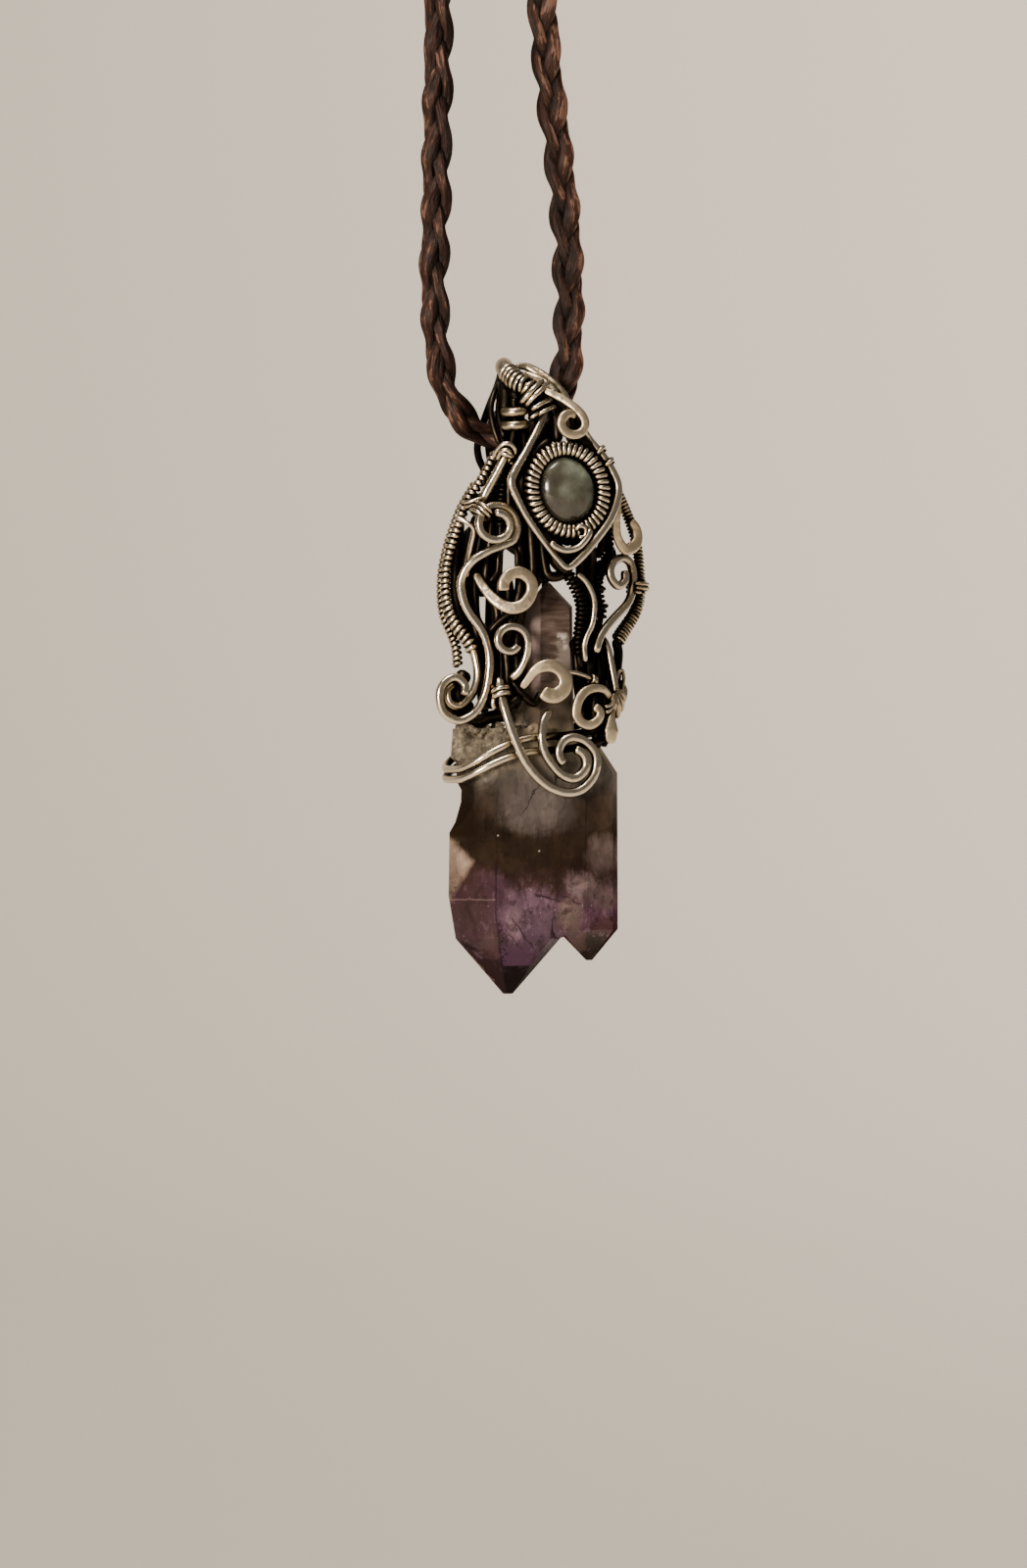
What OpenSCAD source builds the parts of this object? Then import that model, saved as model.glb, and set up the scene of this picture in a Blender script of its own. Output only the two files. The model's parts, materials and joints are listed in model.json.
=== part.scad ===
// Wire-wrapped amethyst pendant on a braided cord.
// Millimetres, Z up, the pendant's face towards -Y. The origin is the inner top of the loop,
// where the necklace hangs.

/* [Necklace] */
// Height from the pendant's own zero, at the neck of its bail, up to the hang point
drop = 211; // [190:1:213]
// Diameter of the braided cord
cord_d = 4; // [4:0.5:4.5]
// Radius of the clasp's bend, at the middle of the tube
clasp_r = 8.7; // [8.2:0.1:9.4]
// Diameter of the clasp's tube
clasp_d = 5; // [4.8:0.1:5.4]
// Length of each straight sleeve of the clasp
sleeve_l = 6; // [5:0.5:8]

/* [Wire] */
// Round frame wire
frame_d = 1.0; // [0.9:0.05:1.05]
// Wire of the small scrolls and cores
core_d = 0.85; // [0.7:0.05:0.9]
// Outer diameter of a core with its fine coil on it
coil_d = 1.15; // [1.0:0.05:1.2]
// Thickness of the hammered scrolls
flat_t = 0.75; // [0.6:0.05:0.8]
// Wire of the spirals, the bands and the back
band_d = 0.95; // [0.85:0.05:1.0]
// Wire of the thin links
thin_d = 0.55; // [0.5:0.05:0.6]
// Wire of the small bindings
bind_d = 0.65; // [0.5:0.05:0.7]
// Number of sides of each swept wire
sides = 8; // [6:1:10]

/* [Setting] */
// Half width of the coiled ring, at the middle of the coil
ring_a = 4.3; // [4.2:0.05:4.4]
// Half height of the coiled ring, at the middle of the coil
ring_b = 5.05; // [5.0:0.05:5.2]
// Outer diameter of the coil round the stone
ring_d = 1.8; // [1.6:0.1:1.8]
// Lean of the oval, top towards the left
ring_lean = 12; // [8:1:14]
// Half width of the stone
stone_a = 3.25; // [3.0:0.05:3.25]
// Half height of the stone
stone_b = 3.95; // [3.7:0.05:3.95]

/* [Bail] */
// Inner radius of the saddle that rests on the cord
saddle_r = 2.9; // [2.8:0.1:3.0]
// Wire of the saddle
saddle_d = 1.0; // [0.9:0.1:1.1]
// Diameter of the wrapped arch over the saddle
arch_d = 2.2; // [2.0:0.1:2.3]
// Wire of the two thick neck wraps
neck_d = 1.2; // [1.0:0.1:1.25]

/* [Hidden] */
$fn = 48;
silver = "#b0a48c";
dark = "#4a443c";

// The face is turned this far from the line of sight that its sideways sizes are taken on
turn = 20;
// Sideways place of the pendant's zero, and of the line that the loop hangs on
side = 4;
// Depth and height of the axis that the pendant swings on, from the pendant's zero
swing_y = 1.2;
swing_z = -2.2;
// Clearance round a core inside its binding, and at the cord's ends
gap = 0.1;

// A place on the pendant: u sideways as seen, z up from the pendant's zero, d towards the front
function at(u, z, d) = [(u - d*sin(turn))/cos(turn) + side, -d, z - drop];
function place(rows) = [for (r = rows) at(r[0], r[1], r[2])];

// A smooth line through the rows
function between(p, i, t) =
    let (a = p[max(i - 1, 0)], b = p[i], c = p[i + 1], e = p[min(i + 2, len(p) - 1)])
    0.5*(2*b + (c - a)*t + (2*a - 5*b + 4*c - e)*t*t + (3*b - 3*c + e - a)*t*t*t);
function smooth(p, steps) = concat(
    [for (i = [0 : len(p) - 2]) for (k = [0 : steps - 1]) between(p, i, k/steps)],
    [p[len(p) - 1]]);

// A spiral about c from radius r0 to r1, starting at angle a0 and turning by sweep, n points
function curl(c, r0, r1, a0, sweep, d0, d1, n) = [for (i = [0 : n - 1])
    let (t = i/(n - 1), a = a0 + sweep*t, r = r0 + (r1 - r0)*t)
    [c[0] + r*cos(a), c[1] + r*sin(a), d0 + (d1 - d0)*t]];

// The value at t, from 0 to 1, along a short list
function along(list, t) = let (f = t*(len(list) - 1), i = min(floor(f), len(list) - 2))
    list[i] + (list[i + 1] - list[i])*(f - i);

// One ring of points about a point of the line: hw across the face and ht in depth
function ring(c, tangent, up, hw, ht) =
    let (u0 = cross(tangent, up), u = u0/norm(u0), v = cross(tangent, u))
    [for (i = [0 : sides - 1]) c + hw*cos(360*(i + 0.5)/sides)*u + ht*sin(360*(i + 0.5)/sides)*v];
function heading(path, i, last) =
    let (t = path[min(i + 1, last)] - path[max(i - 1, 0)]) t/norm(t);
function walls(n, loop) = [for (i = [0 : n - (loop ? 1 : 2)]) for (k = [0 : sides - 1])
    let (k2 = (k + 1)%sides, a = i*sides, b = ((i + 1)%n)*sides)
    each [[a + k, b + k2, a + k2], [a + k, b + k, b + k2]]];

// A wire along a path, its width and thickness each a short list spread over the path
module wire(path, width, thick) {
    n = len(path);
    points = [for (i = [0 : n - 1])
        let (t = i/(n - 1), tip = (i == 0 || i == n - 1) ? 0.8 : 1)
        each ring(path[i], heading(path, i, n - 1), [0, 1, 0],
            tip*along(width, t)/2, tip*along(thick, t)/2)];
    caps = [[for (k = [0 : sides - 1]) k],
        [for (k = [sides - 1 : -1 : 0]) (n - 1)*sides + k]];
    polyhedron(points = points, faces = concat(caps, walls(n, false)));
}

// A round wire of one diameter
module round_wire(path, d) {
    wire(path, [d, d], [d, d]);
}

// A closed ring of wire
module closed_wire(path, d, up) {
    n = len(path);
    points = [for (i = [0 : n - 1])
        let (t = path[(i + 1)%n] - path[(i + n - 1)%n])
        each ring(path[i], t/norm(t), up, d/2, d/2)];
    polyhedron(points = points, faces = walls(n, true));
}

// A binding of wire d round a core, at t along the span i of the core's route
module bind_on(rows, i, t, core, d) {
    span = place([between(rows, i, t - 0.05), between(rows, i, t + 0.05)]);
    axis = span[1] - span[0];
    translate((span[0] + span[1])/2)
        rotate([0, acos(axis[2]/norm(axis)), atan2(axis[1], axis[0])])
            rotate_extrude()
                translate([(core + d)/2 + gap, 0])
                    circle(d = d, $fn = 24);
}

// A solid through rings of points, from the first to the last
module loft(rings) {
    m = len(rings[0]);
    n = len(rings);
    faces = [for (i = [0 : n - 2]) for (k = [0 : m - 1])
        let (k2 = (k + 1)%m)
        each [[i*m + k, (i + 1)*m + k2, i*m + k2], [i*m + k, (i + 1)*m + k, (i + 1)*m + k2]]];
    caps = [[for (k = [0 : m - 1]) k], [for (k = [m - 1 : -1 : 0]) (n - 1)*m + k]];
    polyhedron(points = [for (r = rings) each r], faces = concat(caps, faces));
}

// Cord and clasp

// Where the cord leaves the two sleeves, in the pendant's own heights
mouth_z = drop - (clasp_r - clasp_d/2) - sleeve_l - gap;
cord_route = [
    [-12.7, 0, mouth_z], [-12.7, 0, 180], [-12.6, 0, 160], [-12.4, 0, 135], [-12.1, 0, 110],
    [-11.9, 0, 85], [-11.7, 0, 60], [-11.8, 0, 42], [-12.0, 0, 28], [-12.3, 0, 18],
    [-12.0, 0, 11], [-11.2, 0.1, 5.5], [-9.2, 0.4, 1.4], [-6.2, 0.9, -1.0],
    [-2.6, 1.2, -1.7], [0.9, 1.4, -1.0], [3.6, 1.7, 1.2], [5.2, 1.9, 4.6], [5.8, 2.0, 9],
    [5.9, 2.0, 16], [5.5, 1.9, 25], [4.0, 1.6, 36], [2.4, 1.2, 48], [1.6, 0.8, 62],
    [1.9, 0.5, 85], [2.7, 0.3, 110], [3.6, 0.1, 135], [4.4, 0, 160], [4.7, 0, 180],
    [4.7, 0, mouth_z]];

module cord() {
    color("#4a2f26")
        translate([side, 0, -drop])
            wire(smooth(cord_route, 2), [cord_d/cos(22.5), cord_d/cos(22.5)],
                [cord_d/cos(22.5), cord_d/cos(22.5)]);
}

module clasp() {
    color(silver)
        translate([0, 0, clasp_d/2 - clasp_r]) {
            rotate([90, 0, 0])
                rotate_extrude(angle = 180)
                    translate([clasp_r, 0])
                        circle(d = clasp_d);
            for (s = [-1, 1])
                translate([s*clasp_r, 0, -sleeve_l])
                    cylinder(d = clasp_d, h = sleeve_l);
        }
}

// Crystal

// Plan outlines of the three crystals, x and y from the pendant's zero
main_plan = [[-10.6, -0.4], [-6.2, -5.2], [1.6, -5.0], [5.2, 0.2], [1.4, 5.0], [-6.0, 5.0]];
twin_plan = [[2.6, -4.2], [5.8, -4.7], [9.4, -4.1], [11.4, -0.6], [9.8, 3.6], [5.0, 4.2]];
point_plan = [[-3.0, -0.6], [0.3, -3.1], [4.4, -2.5], [5.7, 0], [3.6, 2.7], [-1.2, 2.7]];

// A plan shrunk by k about c, at height z, leaning by s for each millimetre of x
function level(plan, c, k, z, s = 0) =
    [for (p = plan) [c[0] + k*(p[0] - c[0]), c[1] + k*(p[1] - c[1]), z + s*(p[0] - c[0])]];

module crystal() {
    main_axis = [-2.7, 0.2];
    twin_axis = [7.8, -0.2];
    point_axis = [2.3, -0.5];
    color("#8a6f9a")
        translate([side, 0, -drop])
            difference() {
                union() {
                    loft([level(main_plan, main_axis, 0.08, -69.8),
                        level(main_plan, main_axis, 0.88, -63.0),
                        level(main_plan, main_axis, 1, -57.8),
                        level(main_plan, main_axis, 0.97, -41.5),
                        level(main_plan, main_axis, 0.93, -37.4)]);
                    loft([level(twin_plan, twin_axis, 0.1, -65.8),
                        level(twin_plan, twin_axis, 1, -62.0),
                        level(twin_plan, twin_axis, 0.98, -42.8),
                        level(twin_plan, [5.0, 0], 0.55, -38.6)]);
                    loft([level(point_plan, point_axis, 1.05, -38.5),
                        level(point_plan, point_axis, 1, -30.0),
                        level(point_plan, point_axis, 0.98, -23.4, 0.3),
                        level(point_plan, point_axis, 0.07, -19.5)]);
                }
                rotate([90, 0, 0])
                    linear_extrude(20, center = true)
                        polygon([[-14, -40.6], [-10.4, -40.9], [-9.1, -41.6], [-8.9, -43.9],
                            [-7.9, -44.9], [-8.0, -46.4], [-9.2, -48.8], [-10.6, -50.2],
                            [-14, -50.4]]);
            }
}

// Setting

// A point of the leaning oval with half axes a and b, at angle t and depth d
function oval(a, b, t, d) = let (x = a*cos(t), y = b*sin(t))
    at(4.6 + x*cos(ring_lean) - y*sin(ring_lean), -8.5 + x*sin(ring_lean) + y*cos(ring_lean), d);

module cabochon() {
    profile = [[0.92, 5.95], [1, 6.3], [0.99, 6.9], [0.9, 7.5], [0.7, 8.0], [0.4, 8.35],
        [0.12, 8.45]];
    color("#7d8a80")
        loft([for (p = profile) [for (i = [0 : 19]) oval(p[0]*stone_a, p[0]*stone_b, 18*i, p[1])]]);
}

module bezel_back() {
    color(dark)
        loft([for (d = [5.35, 5.8]) [for (i = [0 : 19]) oval(ring_a, ring_b, 18*i, d)]]);
}

module bezel_coil() {
    color(silver)
        closed_wire([for (i = [0 : 31]) oval(ring_a, ring_b, 11.25*i, 7.2)], ring_d, [0, 1, 0]);
}

module bezel_hook() {
    route = [[2.6, -14.9, 8.5], [3.2, -15.5, 8.6], [4.4, -15.9, 8.6], [5.9, -15.5, 8.6],
        [7.0, -14.3, 8.6], [7.4, -13.3, 8.5]];
    color(silver)
        round_wire(place(smooth(route, 2)), core_d - gap);
}

module diamond_frame() {
    route = [[1.9, 1.8, 5.0], [1.3, -0.4, 5.6], [-0.4, -3.9, 6.6], [-1.8, -6.4, 7.2],
        [-2.2, -7.7, 7.4], [-1.7, -9.2, 7.5], [-0.4, -11.7, 7.6], [1.5, -14.5, 7.6],
        [3.6, -17.1, 7.6], [4.7, -17.9, 7.6], [6.2, -16.7, 7.6], [8.1, -14.4, 7.5],
        [9.7, -12.1, 7.3], [10.6, -9.7, 7.0], [10.8, -7.9, 6.8], [10.2, -6.2, 6.7],
        [8.9, -4.1, 6.4], [7.5, -2.4, 5.8], [6.6, -1.0, 5.0]];
    color(silver)
        round_wire(place(smooth(route, 2)), frame_d);
}

// Bail

module bail_arch() {
    route = [[-3.1, 7.0, 0.2], [-2.9, 6.4, 1.6], [-2.0, 5.2, 3.4], [-0.9, 4.3, 4.7],
        [-0.2, 3.9, 5.3]];
    color(silver)
        round_wire(place(smooth(route, 3)), arch_d);
}

module bail_strap() {
    route = [[-1.5, 7.0, -0.4], [0.2, 6.9, -0.8], [1.8, 5.9, 0.2], [2.6, 4.7, 1.8],
        [2.8, 3.2, 3.4], [2.3, 1.7, 4.2]];
    color(dark)
        round_wire(place(smooth(route, 2)), core_d);
}

// Three wires side by side round the cord
module bail_saddle() {
    color(dark)
        translate([side, swing_y, swing_z - drop])
            rotate([0, 90, 0])
                rotate_extrude()
                    for (i = [-4 : -2])
                        translate([saddle_r + saddle_d/2, 0.9*saddle_d*i])
                            circle(d = saddle_d, $fn = 24);
}

spine_route = [[-1.9, 2.6, 4.5], [-1.8, 1.1, 4.75], [-1.8, -0.5, 4.75], [-2.2, -3.0, 4.2],
    [-3.0, -6.0, 3.4], [-3.4, -10, 3.2], [-3.6, -16, 3.2], [-3.8, -22, 3.0],
    [-3.4, -28, 3.4], [-3.4, -32, 4.0], [-3.2, -35, 4.6]];

module neck_wrap_upper() {
    color(silver)
        bind_on(spine_route, 1, 0, band_d, neck_d);
}

module neck_wrap_lower() {
    color(silver)
        bind_on(spine_route, 1, 1, band_d, neck_d);
}

module top_scroll() {
    stem = [[0.9, 4.1, 6.5], [2.4, 3.5, 7.1], [4.0, 2.6, 7.7], [5.2, 1.8, 8.0]];
    route = concat(smooth(stem, 2), curl([5.2, -0.4], 1.6, 1.35, 50, -290, 8.1, 8.1, 13));
    color(silver)
        wire(place(route), [0.9, 1.15, 1.15, 1.1], [flat_t, flat_t]);
}

// Left side

rod_route = [[-2.3, -3.4, 5.9], [-2.9, -4.5, 5.7], [-4.2, -7.0, 5.2], [-5.4, -9.2, 4.8],
    [-6.1, -11.6, 4.2]];

module left_rod() {
    color(silver)
        round_wire(place(smooth(rod_route, 2)), frame_d);
}

module rod_collar() {
    color(silver)
        bind_on(rod_route, 0, 0.6, frame_d, bind_d);
}

module left_binding_upper() {
    color(silver)
        bind_on(rod_route, 2, 0.95, frame_d, bind_d);
}

module left_binding_lower() {
    color(silver)
        bind_on(rod_route, 3, 0.55, frame_d, bind_d);
}

module v_wire() {
    route = [[-8.8, -11.9, 4.0], [-7.6, -12.5, 4.7], [-6.7, -13.4, 4.9], [-7.0, -15.2, 4.5],
        [-7.3, -16.9, 3.9], [-7.5, -19.0, 3.4]];
    color(silver)
        round_wire(place(smooth(route, 2)), thin_d);
}

module left_coil_front() {
    coiled = [[-3.9, -3.6, 3.4], [-5.6, -6.9, 3.4], [-7.6, -10.0, 3.0], [-8.6, -12.8, 2.4],
        [-9.4, -15.2, 1.8], [-10.0, -17.8, 1.4], [-10.1, -20.6, 1.3], [-9.7, -23.2, 1.6],
        [-8.5, -25.4, 2.4], [-7.2, -27.0, 3.0], [-6.5, -29.2, 3.3]];
    tail = [[-6.3, -31.4, 3.5], [-7.0, -33.4, 3.7], [-8.4, -34.7, 3.8], [-9.6, -34.3, 3.7],
        [-9.8, -32.9, 3.5], [-9.0, -32.1, 3.4]];
    color(silver)
        wire(place(smooth(concat(coiled, tail), 2)),
            [coil_d, coil_d, coil_d, coil_d, coil_d, core_d, core_d, core_d],
            [coil_d, coil_d, coil_d, coil_d, coil_d, core_d, core_d, core_d]);
}

module left_coil_back() {
    route = [[-6.4, -7.4, 1.8], [-8.2, -10.4, 1.4], [-9.3, -13.2, 0.9], [-10.1, -15.8, 0.3],
        [-10.6, -18.4, 0], [-10.7, -21.0, -0.1], [-10.4, -23.6, 0.2], [-9.5, -25.8, 0.9],
        [-8.9, -27.6, 1.4], [-8.7, -30.0, 1.6]];
    color(dark)
        round_wire(place(smooth(route, 2)), coil_d);
}

module s_scroll() {
    stem = [[-4.6, -15.8, 5.6], [-6.5, -16.9, 5.3], [-7.7, -18.2, 4.9], [-8.3, -19.9, 4.6],
        [-8.0, -21.9, 4.6], [-7.2, -23.6, 4.8], [-6.0, -25.2, 5.1], [-5.2, -26.9, 5.3],
        [-4.8, -28.8, 5.4], [-4.9, -31.0, 5.4], [-5.4, -33.4, 5.2], [-6.6, -35.5, 5.0],
        [-8.5, -36.5, 4.8], [-10.2, -35.7, 4.6], [-10.8, -34.2, 4.5], [-10.7, -32.6, 4.5],
        [-9.8, -31.5, 4.5], [-8.7, -31.3, 4.6], [-7.8, -32.2, 4.8], [-7.9, -33.4, 5.0]];
    route = concat(curl([-4.0, -12.8], 1.35, 2.7, 95, -505, 7.3, 5.7, 22), smooth(stem, 2));
    color(silver)
        round_wire(place(route), frame_d);
}

module broad_scroll() {
    stem = [[-6.5, -18.7, 4.0], [-5.7, -20.2, 4.7], [-4.7, -21.5, 5.5], [-3.6, -22.4, 6.2]];
    route = concat(smooth(stem, 2), curl([-1.4, -20.8], 2.15, 1.8, 238, 310, 6.8, 6.8, 14));
    color(silver)
        wire(place(route), [0.9, 1.2, 1.5, 1.5, 1.5, 1.4], [flat_t, flat_t]);
}

module small_scroll() {
    tail = [[-0.4, -28.7, 6.2], [-1.2, -30.4, 5.9], [-2.3, -31.4, 5.3]];
    route = concat(curl([-2.3, -26.9], 1.0, 2.1, -30, -333, 6.4, 6.4, 14), smooth(tail, 2));
    color(silver)
        round_wire(place(route), core_d);
}

// Middle and lower front

module centre_scroll() {
    stem = [[-0.9, -32.6, 6.0], [0.0, -31.3, 6.6], [0.7, -30.5, 7.1]];
    route = concat(smooth(stem, 2), curl([2.5, -31.7], 1.95, 1.4, 128, -290, 7.4, 7.4, 14));
    color(silver)
        wire(place(route), [0.9, 1.2, 1.4, 1.4, 1.4, 1.3], [flat_t, flat_t]);
}

module right_lower_scroll() {
    route = [[9.9, -33.7, 5.0], [9.1, -32.7, 5.9], [7.9, -32.5, 6.6], [6.7, -33.0, 7.0],
        [5.9, -34.2, 7.2], [5.7, -35.7, 7.2], [6.3, -36.7, 7.2], [7.3, -37.0, 7.2],
        [8.3, -36.4, 7.2], [8.6, -35.4, 7.2], [7.9, -34.7, 7.2]];
    color(silver)
        wire(place(smooth(route, 2)), [0.8, 1.2, 1.2, 1.0], [flat_t, flat_t]);
}

long_route = [[-3.7, -31.4, 5.4], [-3.4, -33.5, 6.2], [-3.2, -35.9, 7.0], [-1.9, -38.4, 7.3],
    [-0.6, -40.8, 7.4], [1.1, -43.0, 7.4], [3.1, -44.9, 7.4], [4.8, -45.5, 7.4],
    [6.7, -44.7, 7.4], [8.0, -42.9, 7.4], [8.2, -41.2, 7.4], [7.2, -39.2, 7.4],
    [5.6, -38.4, 7.4], [4.2, -39.0, 7.4], [3.5, -40.1, 7.4], [3.7, -41.4, 7.4],
    [4.5, -42.0, 7.4]];

module long_spiral() {
    color(silver)
        round_wire(place(smooth(long_route, 2)), frame_d);
}

module inner_spiral() {
    route = [[2.4, -35.4, 6.4], [1.8, -36.6, 6.9], [1.6, -38.2, 7.3], [1.8, -40.0, 7.4],
        [2.6, -41.9, 7.4], [4.0, -43.4, 7.4], [5.5, -43.8, 7.4], [6.7, -42.6, 7.4],
        [7.0, -41.2, 7.4], [6.4, -40.1, 7.4], [5.5, -40.3, 7.4]];
    color(silver)
        round_wire(place(smooth(route, 2)), band_d);
}

module stem_binding() {
    color(silver)
        for (t = [0.75, 1.0])
            bind_on(long_route, 0, t, frame_d, bind_d);
}

module link_wire() {
    route = [[4.6, -30.5, 6.3], [5.8, -30.7, 6.2], [7.0, -31.1, 6.0], [8.2, -31.8, 5.5]];
    color(silver)
        round_wire(place(smooth(route, 2)), thin_d);
}

// Right side

module teardrop_scroll() {
    route = [[10.6, -8.8, 4.8], [10.7, -10.4, 4.7], [10.6, -12.4, 4.5], [10.8, -14.2, 4.2],
        [11.8, -15.5, 3.7], [12.8, -14.7, 3.2], [12.9, -13.3, 3.1], [12.2, -12.2, 3.4]];
    color(silver)
        wire(place(smooth(route, 2)), [0.8, 1.2, 1.2, 1.0], [flat_t, flat_t]);
}

module right_sweep() {
    route = [[11.7, -18.0, 3.2], [11.7, -19.2, 3.3], [10.9, -19.9, 3.5], [10.1, -19.1, 3.6],
        [9.9, -17.9, 3.5], [10.4, -16.9, 3.1], [11.4, -16.4, 2.6], [12.3, -16.9, 2.2],
        [12.7, -18.1, 2.1], [12.7, -19.6, 2.1], [12.5, -21.0, 2.1], [11.9, -22.2, 2.4],
        [10.7, -23.5, 3.0], [9.4, -25.0, 3.9], [8.5, -26.5, 4.5], [8.1, -28.1, 4.7]];
    color(silver)
        round_wire(place(smooth(route, 2)), band_d);
}

right_route = [[8.2, -3.0, 2.2], [9.2, -5.0, 2.0], [10.6, -7.8, 1.6], [12.0, -10.6, 1.2],
    [13.1, -13.4, 0.9], [13.6, -16.0, 0.8], [13.8, -18.6, 0.8], [13.8, -21.0, 0.8],
    [13.4, -22.9, 0.9], [12.4, -24.6, 1.2], [11.3, -26.0, 1.5], [10.6, -27.2, 1.8]];

module right_coil() {
    color(silver)
        round_wire(place(smooth(right_route, 2)), coil_d);
}

module right_binding() {
    color(silver)
        for (t = [0.45, 0.7])
            bind_on(right_route, 6, t, coil_d, bind_d);
}

module inner_right_wire() {
    route = [[5.9, -18.6, 6.0], [7.0, -19.7, 5.8], [7.8, -21.4, 5.6], [7.9, -23.0, 5.5],
        [7.6, -24.8, 5.4], [7.0, -26.1, 5.3], [6.7, -27.3, 5.2], [6.8, -29.2, 5.1]];
    color(silver)
        round_wire(place(smooth(route, 2)), core_d);
}

module right_stem() {
    route = [[9.0, -26.4, 3.0], [9.4, -27.8, 3.5], [9.8, -30.0, 3.8], [10.3, -32.2, 3.8],
        [10.7, -33.6, 3.7]];
    color(silver)
        round_wire(place(smooth(route, 2)), core_d);
}

module leaf() {
    route = [[11.2, -31.4, 2.2], [11.4, -32.6, 2.5], [11.2, -33.9, 2.6], [10.9, -35.3, 2.4]];
    color(silver)
        wire(place(smooth(route, 2)), [0.5, 1.5, 1.6, 0.5], [0.5, 0.9, 0.9, 0.5]);
}

module paddle() {
    route = [[10.3, -34.6, 4.6], [10.1, -36.0, 5.9], [10.0, -37.6, 6.3], [9.9, -39.2, 6.2]];
    color(silver)
        wire(place(smooth(route, 2)), [0.6, 0.8, 1.8, 1.1], [0.6, 0.6]);
}

// Darkened wires behind the scrolls

module dark_coil_left() {
    route = [[2.6, 0.4, 3.4], [2.4, -4.0, 3.8], [2.6, -9.0, 4.0], [3.3, -14.0, 4.2],
        [4.2, -17.4, 4.4], [5.2, -19.4, 4.4], [6.0, -21.0, 4.3], [6.4, -22.8, 4.2],
        [6.2, -25.0, 4.1], [6.0, -27.2, 4.0], [6.2, -30.0, 4.0]];
    color(dark)
        wire(place(smooth(route, 2)), [0.9, 0.9, 1.1, 1.3, 1.3, 1.3, 0.9],
            [0.9, 0.9, 1.1, 1.3, 1.3, 1.3, 0.9]);
}

module dark_coil_right() {
    route = [[7.2, -4.6, 2.6], [8.6, -8.0, 2.6], [9.4, -12.0, 2.6], [9.7, -15.4, 2.0],
        [9.3, -17.1, 1.7], [8.5, -18.6, 2.4], [8.4, -20.2, 2.8], [8.6, -21.8, 3.0],
        [8.8, -23.4, 3.0], [8.4, -25.4, 2.9], [7.8, -27.6, 3.1], [7.4, -30.4, 3.6]];
    color(dark)
        round_wire(place(smooth(route, 2)), frame_d);
}

module left_spine() {
    color(dark)
        round_wire(place(smooth(spine_route, 2)), band_d);
}

// The bands round the crystal, and the back

// Half width and half depth of a band round the crystal, and its offset to the left
band_a = 9.75;
band_b = 6.1;
band_shift = 0.15;

// A ring round the crystal at height zc, lower on the left and higher on the right
function band(zc, low, high) = [for (i = [0 : 39])
    let (t = 9*i, c = cos(t), s = sin(t))
    [side - band_shift + band_a*sign(c)*pow(abs(c), 0.5), band_b*sign(s)*pow(abs(s), 0.5),
        zc + c*(c < 0 ? low : high) - drop]];

module band_upper() {
    color(silver)
        closed_wire(band(-38.4, 4.0, 2.0), band_d, [0, 0, 1]);
}

module band_lower() {
    color(silver)
        closed_wire(band(-40.1, 3.5, 2.3), band_d, [0, 0, 1]);
}

module back_left() {
    route = [[-3.3, 6.9, -1.4], [-3.9, 4.8, -3.6], [-5.2, 1.6, -5.2], [-6.3, -2.0, -5.9],
        [-6.2, -4.0, -5.8], [-5.4, -6.0, -5.4], [-4.8, -10, -5.2], [-4.8, -16, -5.2],
        [-5.0, -24, -5.4], [-5.2, -32, -6.0], [-5.6, -36.5, -7.0], [-5.8, -39.5, -7.2],
        [-5.9, -42, -7.2]];
    color(dark)
        round_wire(place(smooth(route, 2)), band_d);
}

module back_right() {
    route = [[-1.8, 5.6, -2.2], [-2.2, 4.0, -3.8], [-2.9, 1.0, -5.4], [-2.6, -3.0, -5.9],
        [-0.5, -7.0, -5.6], [1.4, -12, -5.2], [2.0, -20, -5.2], [1.8, -28, -5.6],
        [1.6, -33, -6.4], [1.4, -37, -7.2], [1.4, -41, -7.2]];
    color(dark)
        round_wire(place(smooth(route, 2)), band_d);
}

cord();
clasp();
crystal();
cabochon();
bezel_back();
bezel_coil();
bezel_hook();
diamond_frame();
bail_arch();
bail_strap();
bail_saddle();
neck_wrap_upper();
neck_wrap_lower();
top_scroll();
left_rod();
rod_collar();
left_binding_upper();
left_binding_lower();
v_wire();
left_coil_front();
left_coil_back();
s_scroll();
broad_scroll();
small_scroll();
centre_scroll();
right_lower_scroll();
teardrop_scroll();
long_spiral();
inner_spiral();
stem_binding();
link_wire();
right_coil();
right_binding();
right_sweep();
inner_right_wire();
right_stem();
leaf();
paddle();
dark_coil_left();
dark_coil_right();
left_spine();
band_upper();
band_lower();
back_left();
back_right();
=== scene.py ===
import json
import math
import random

import bpy
import numpy as np
from mathutils import Matrix, Vector
from mathutils.bvhtree import BVHTree

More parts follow.
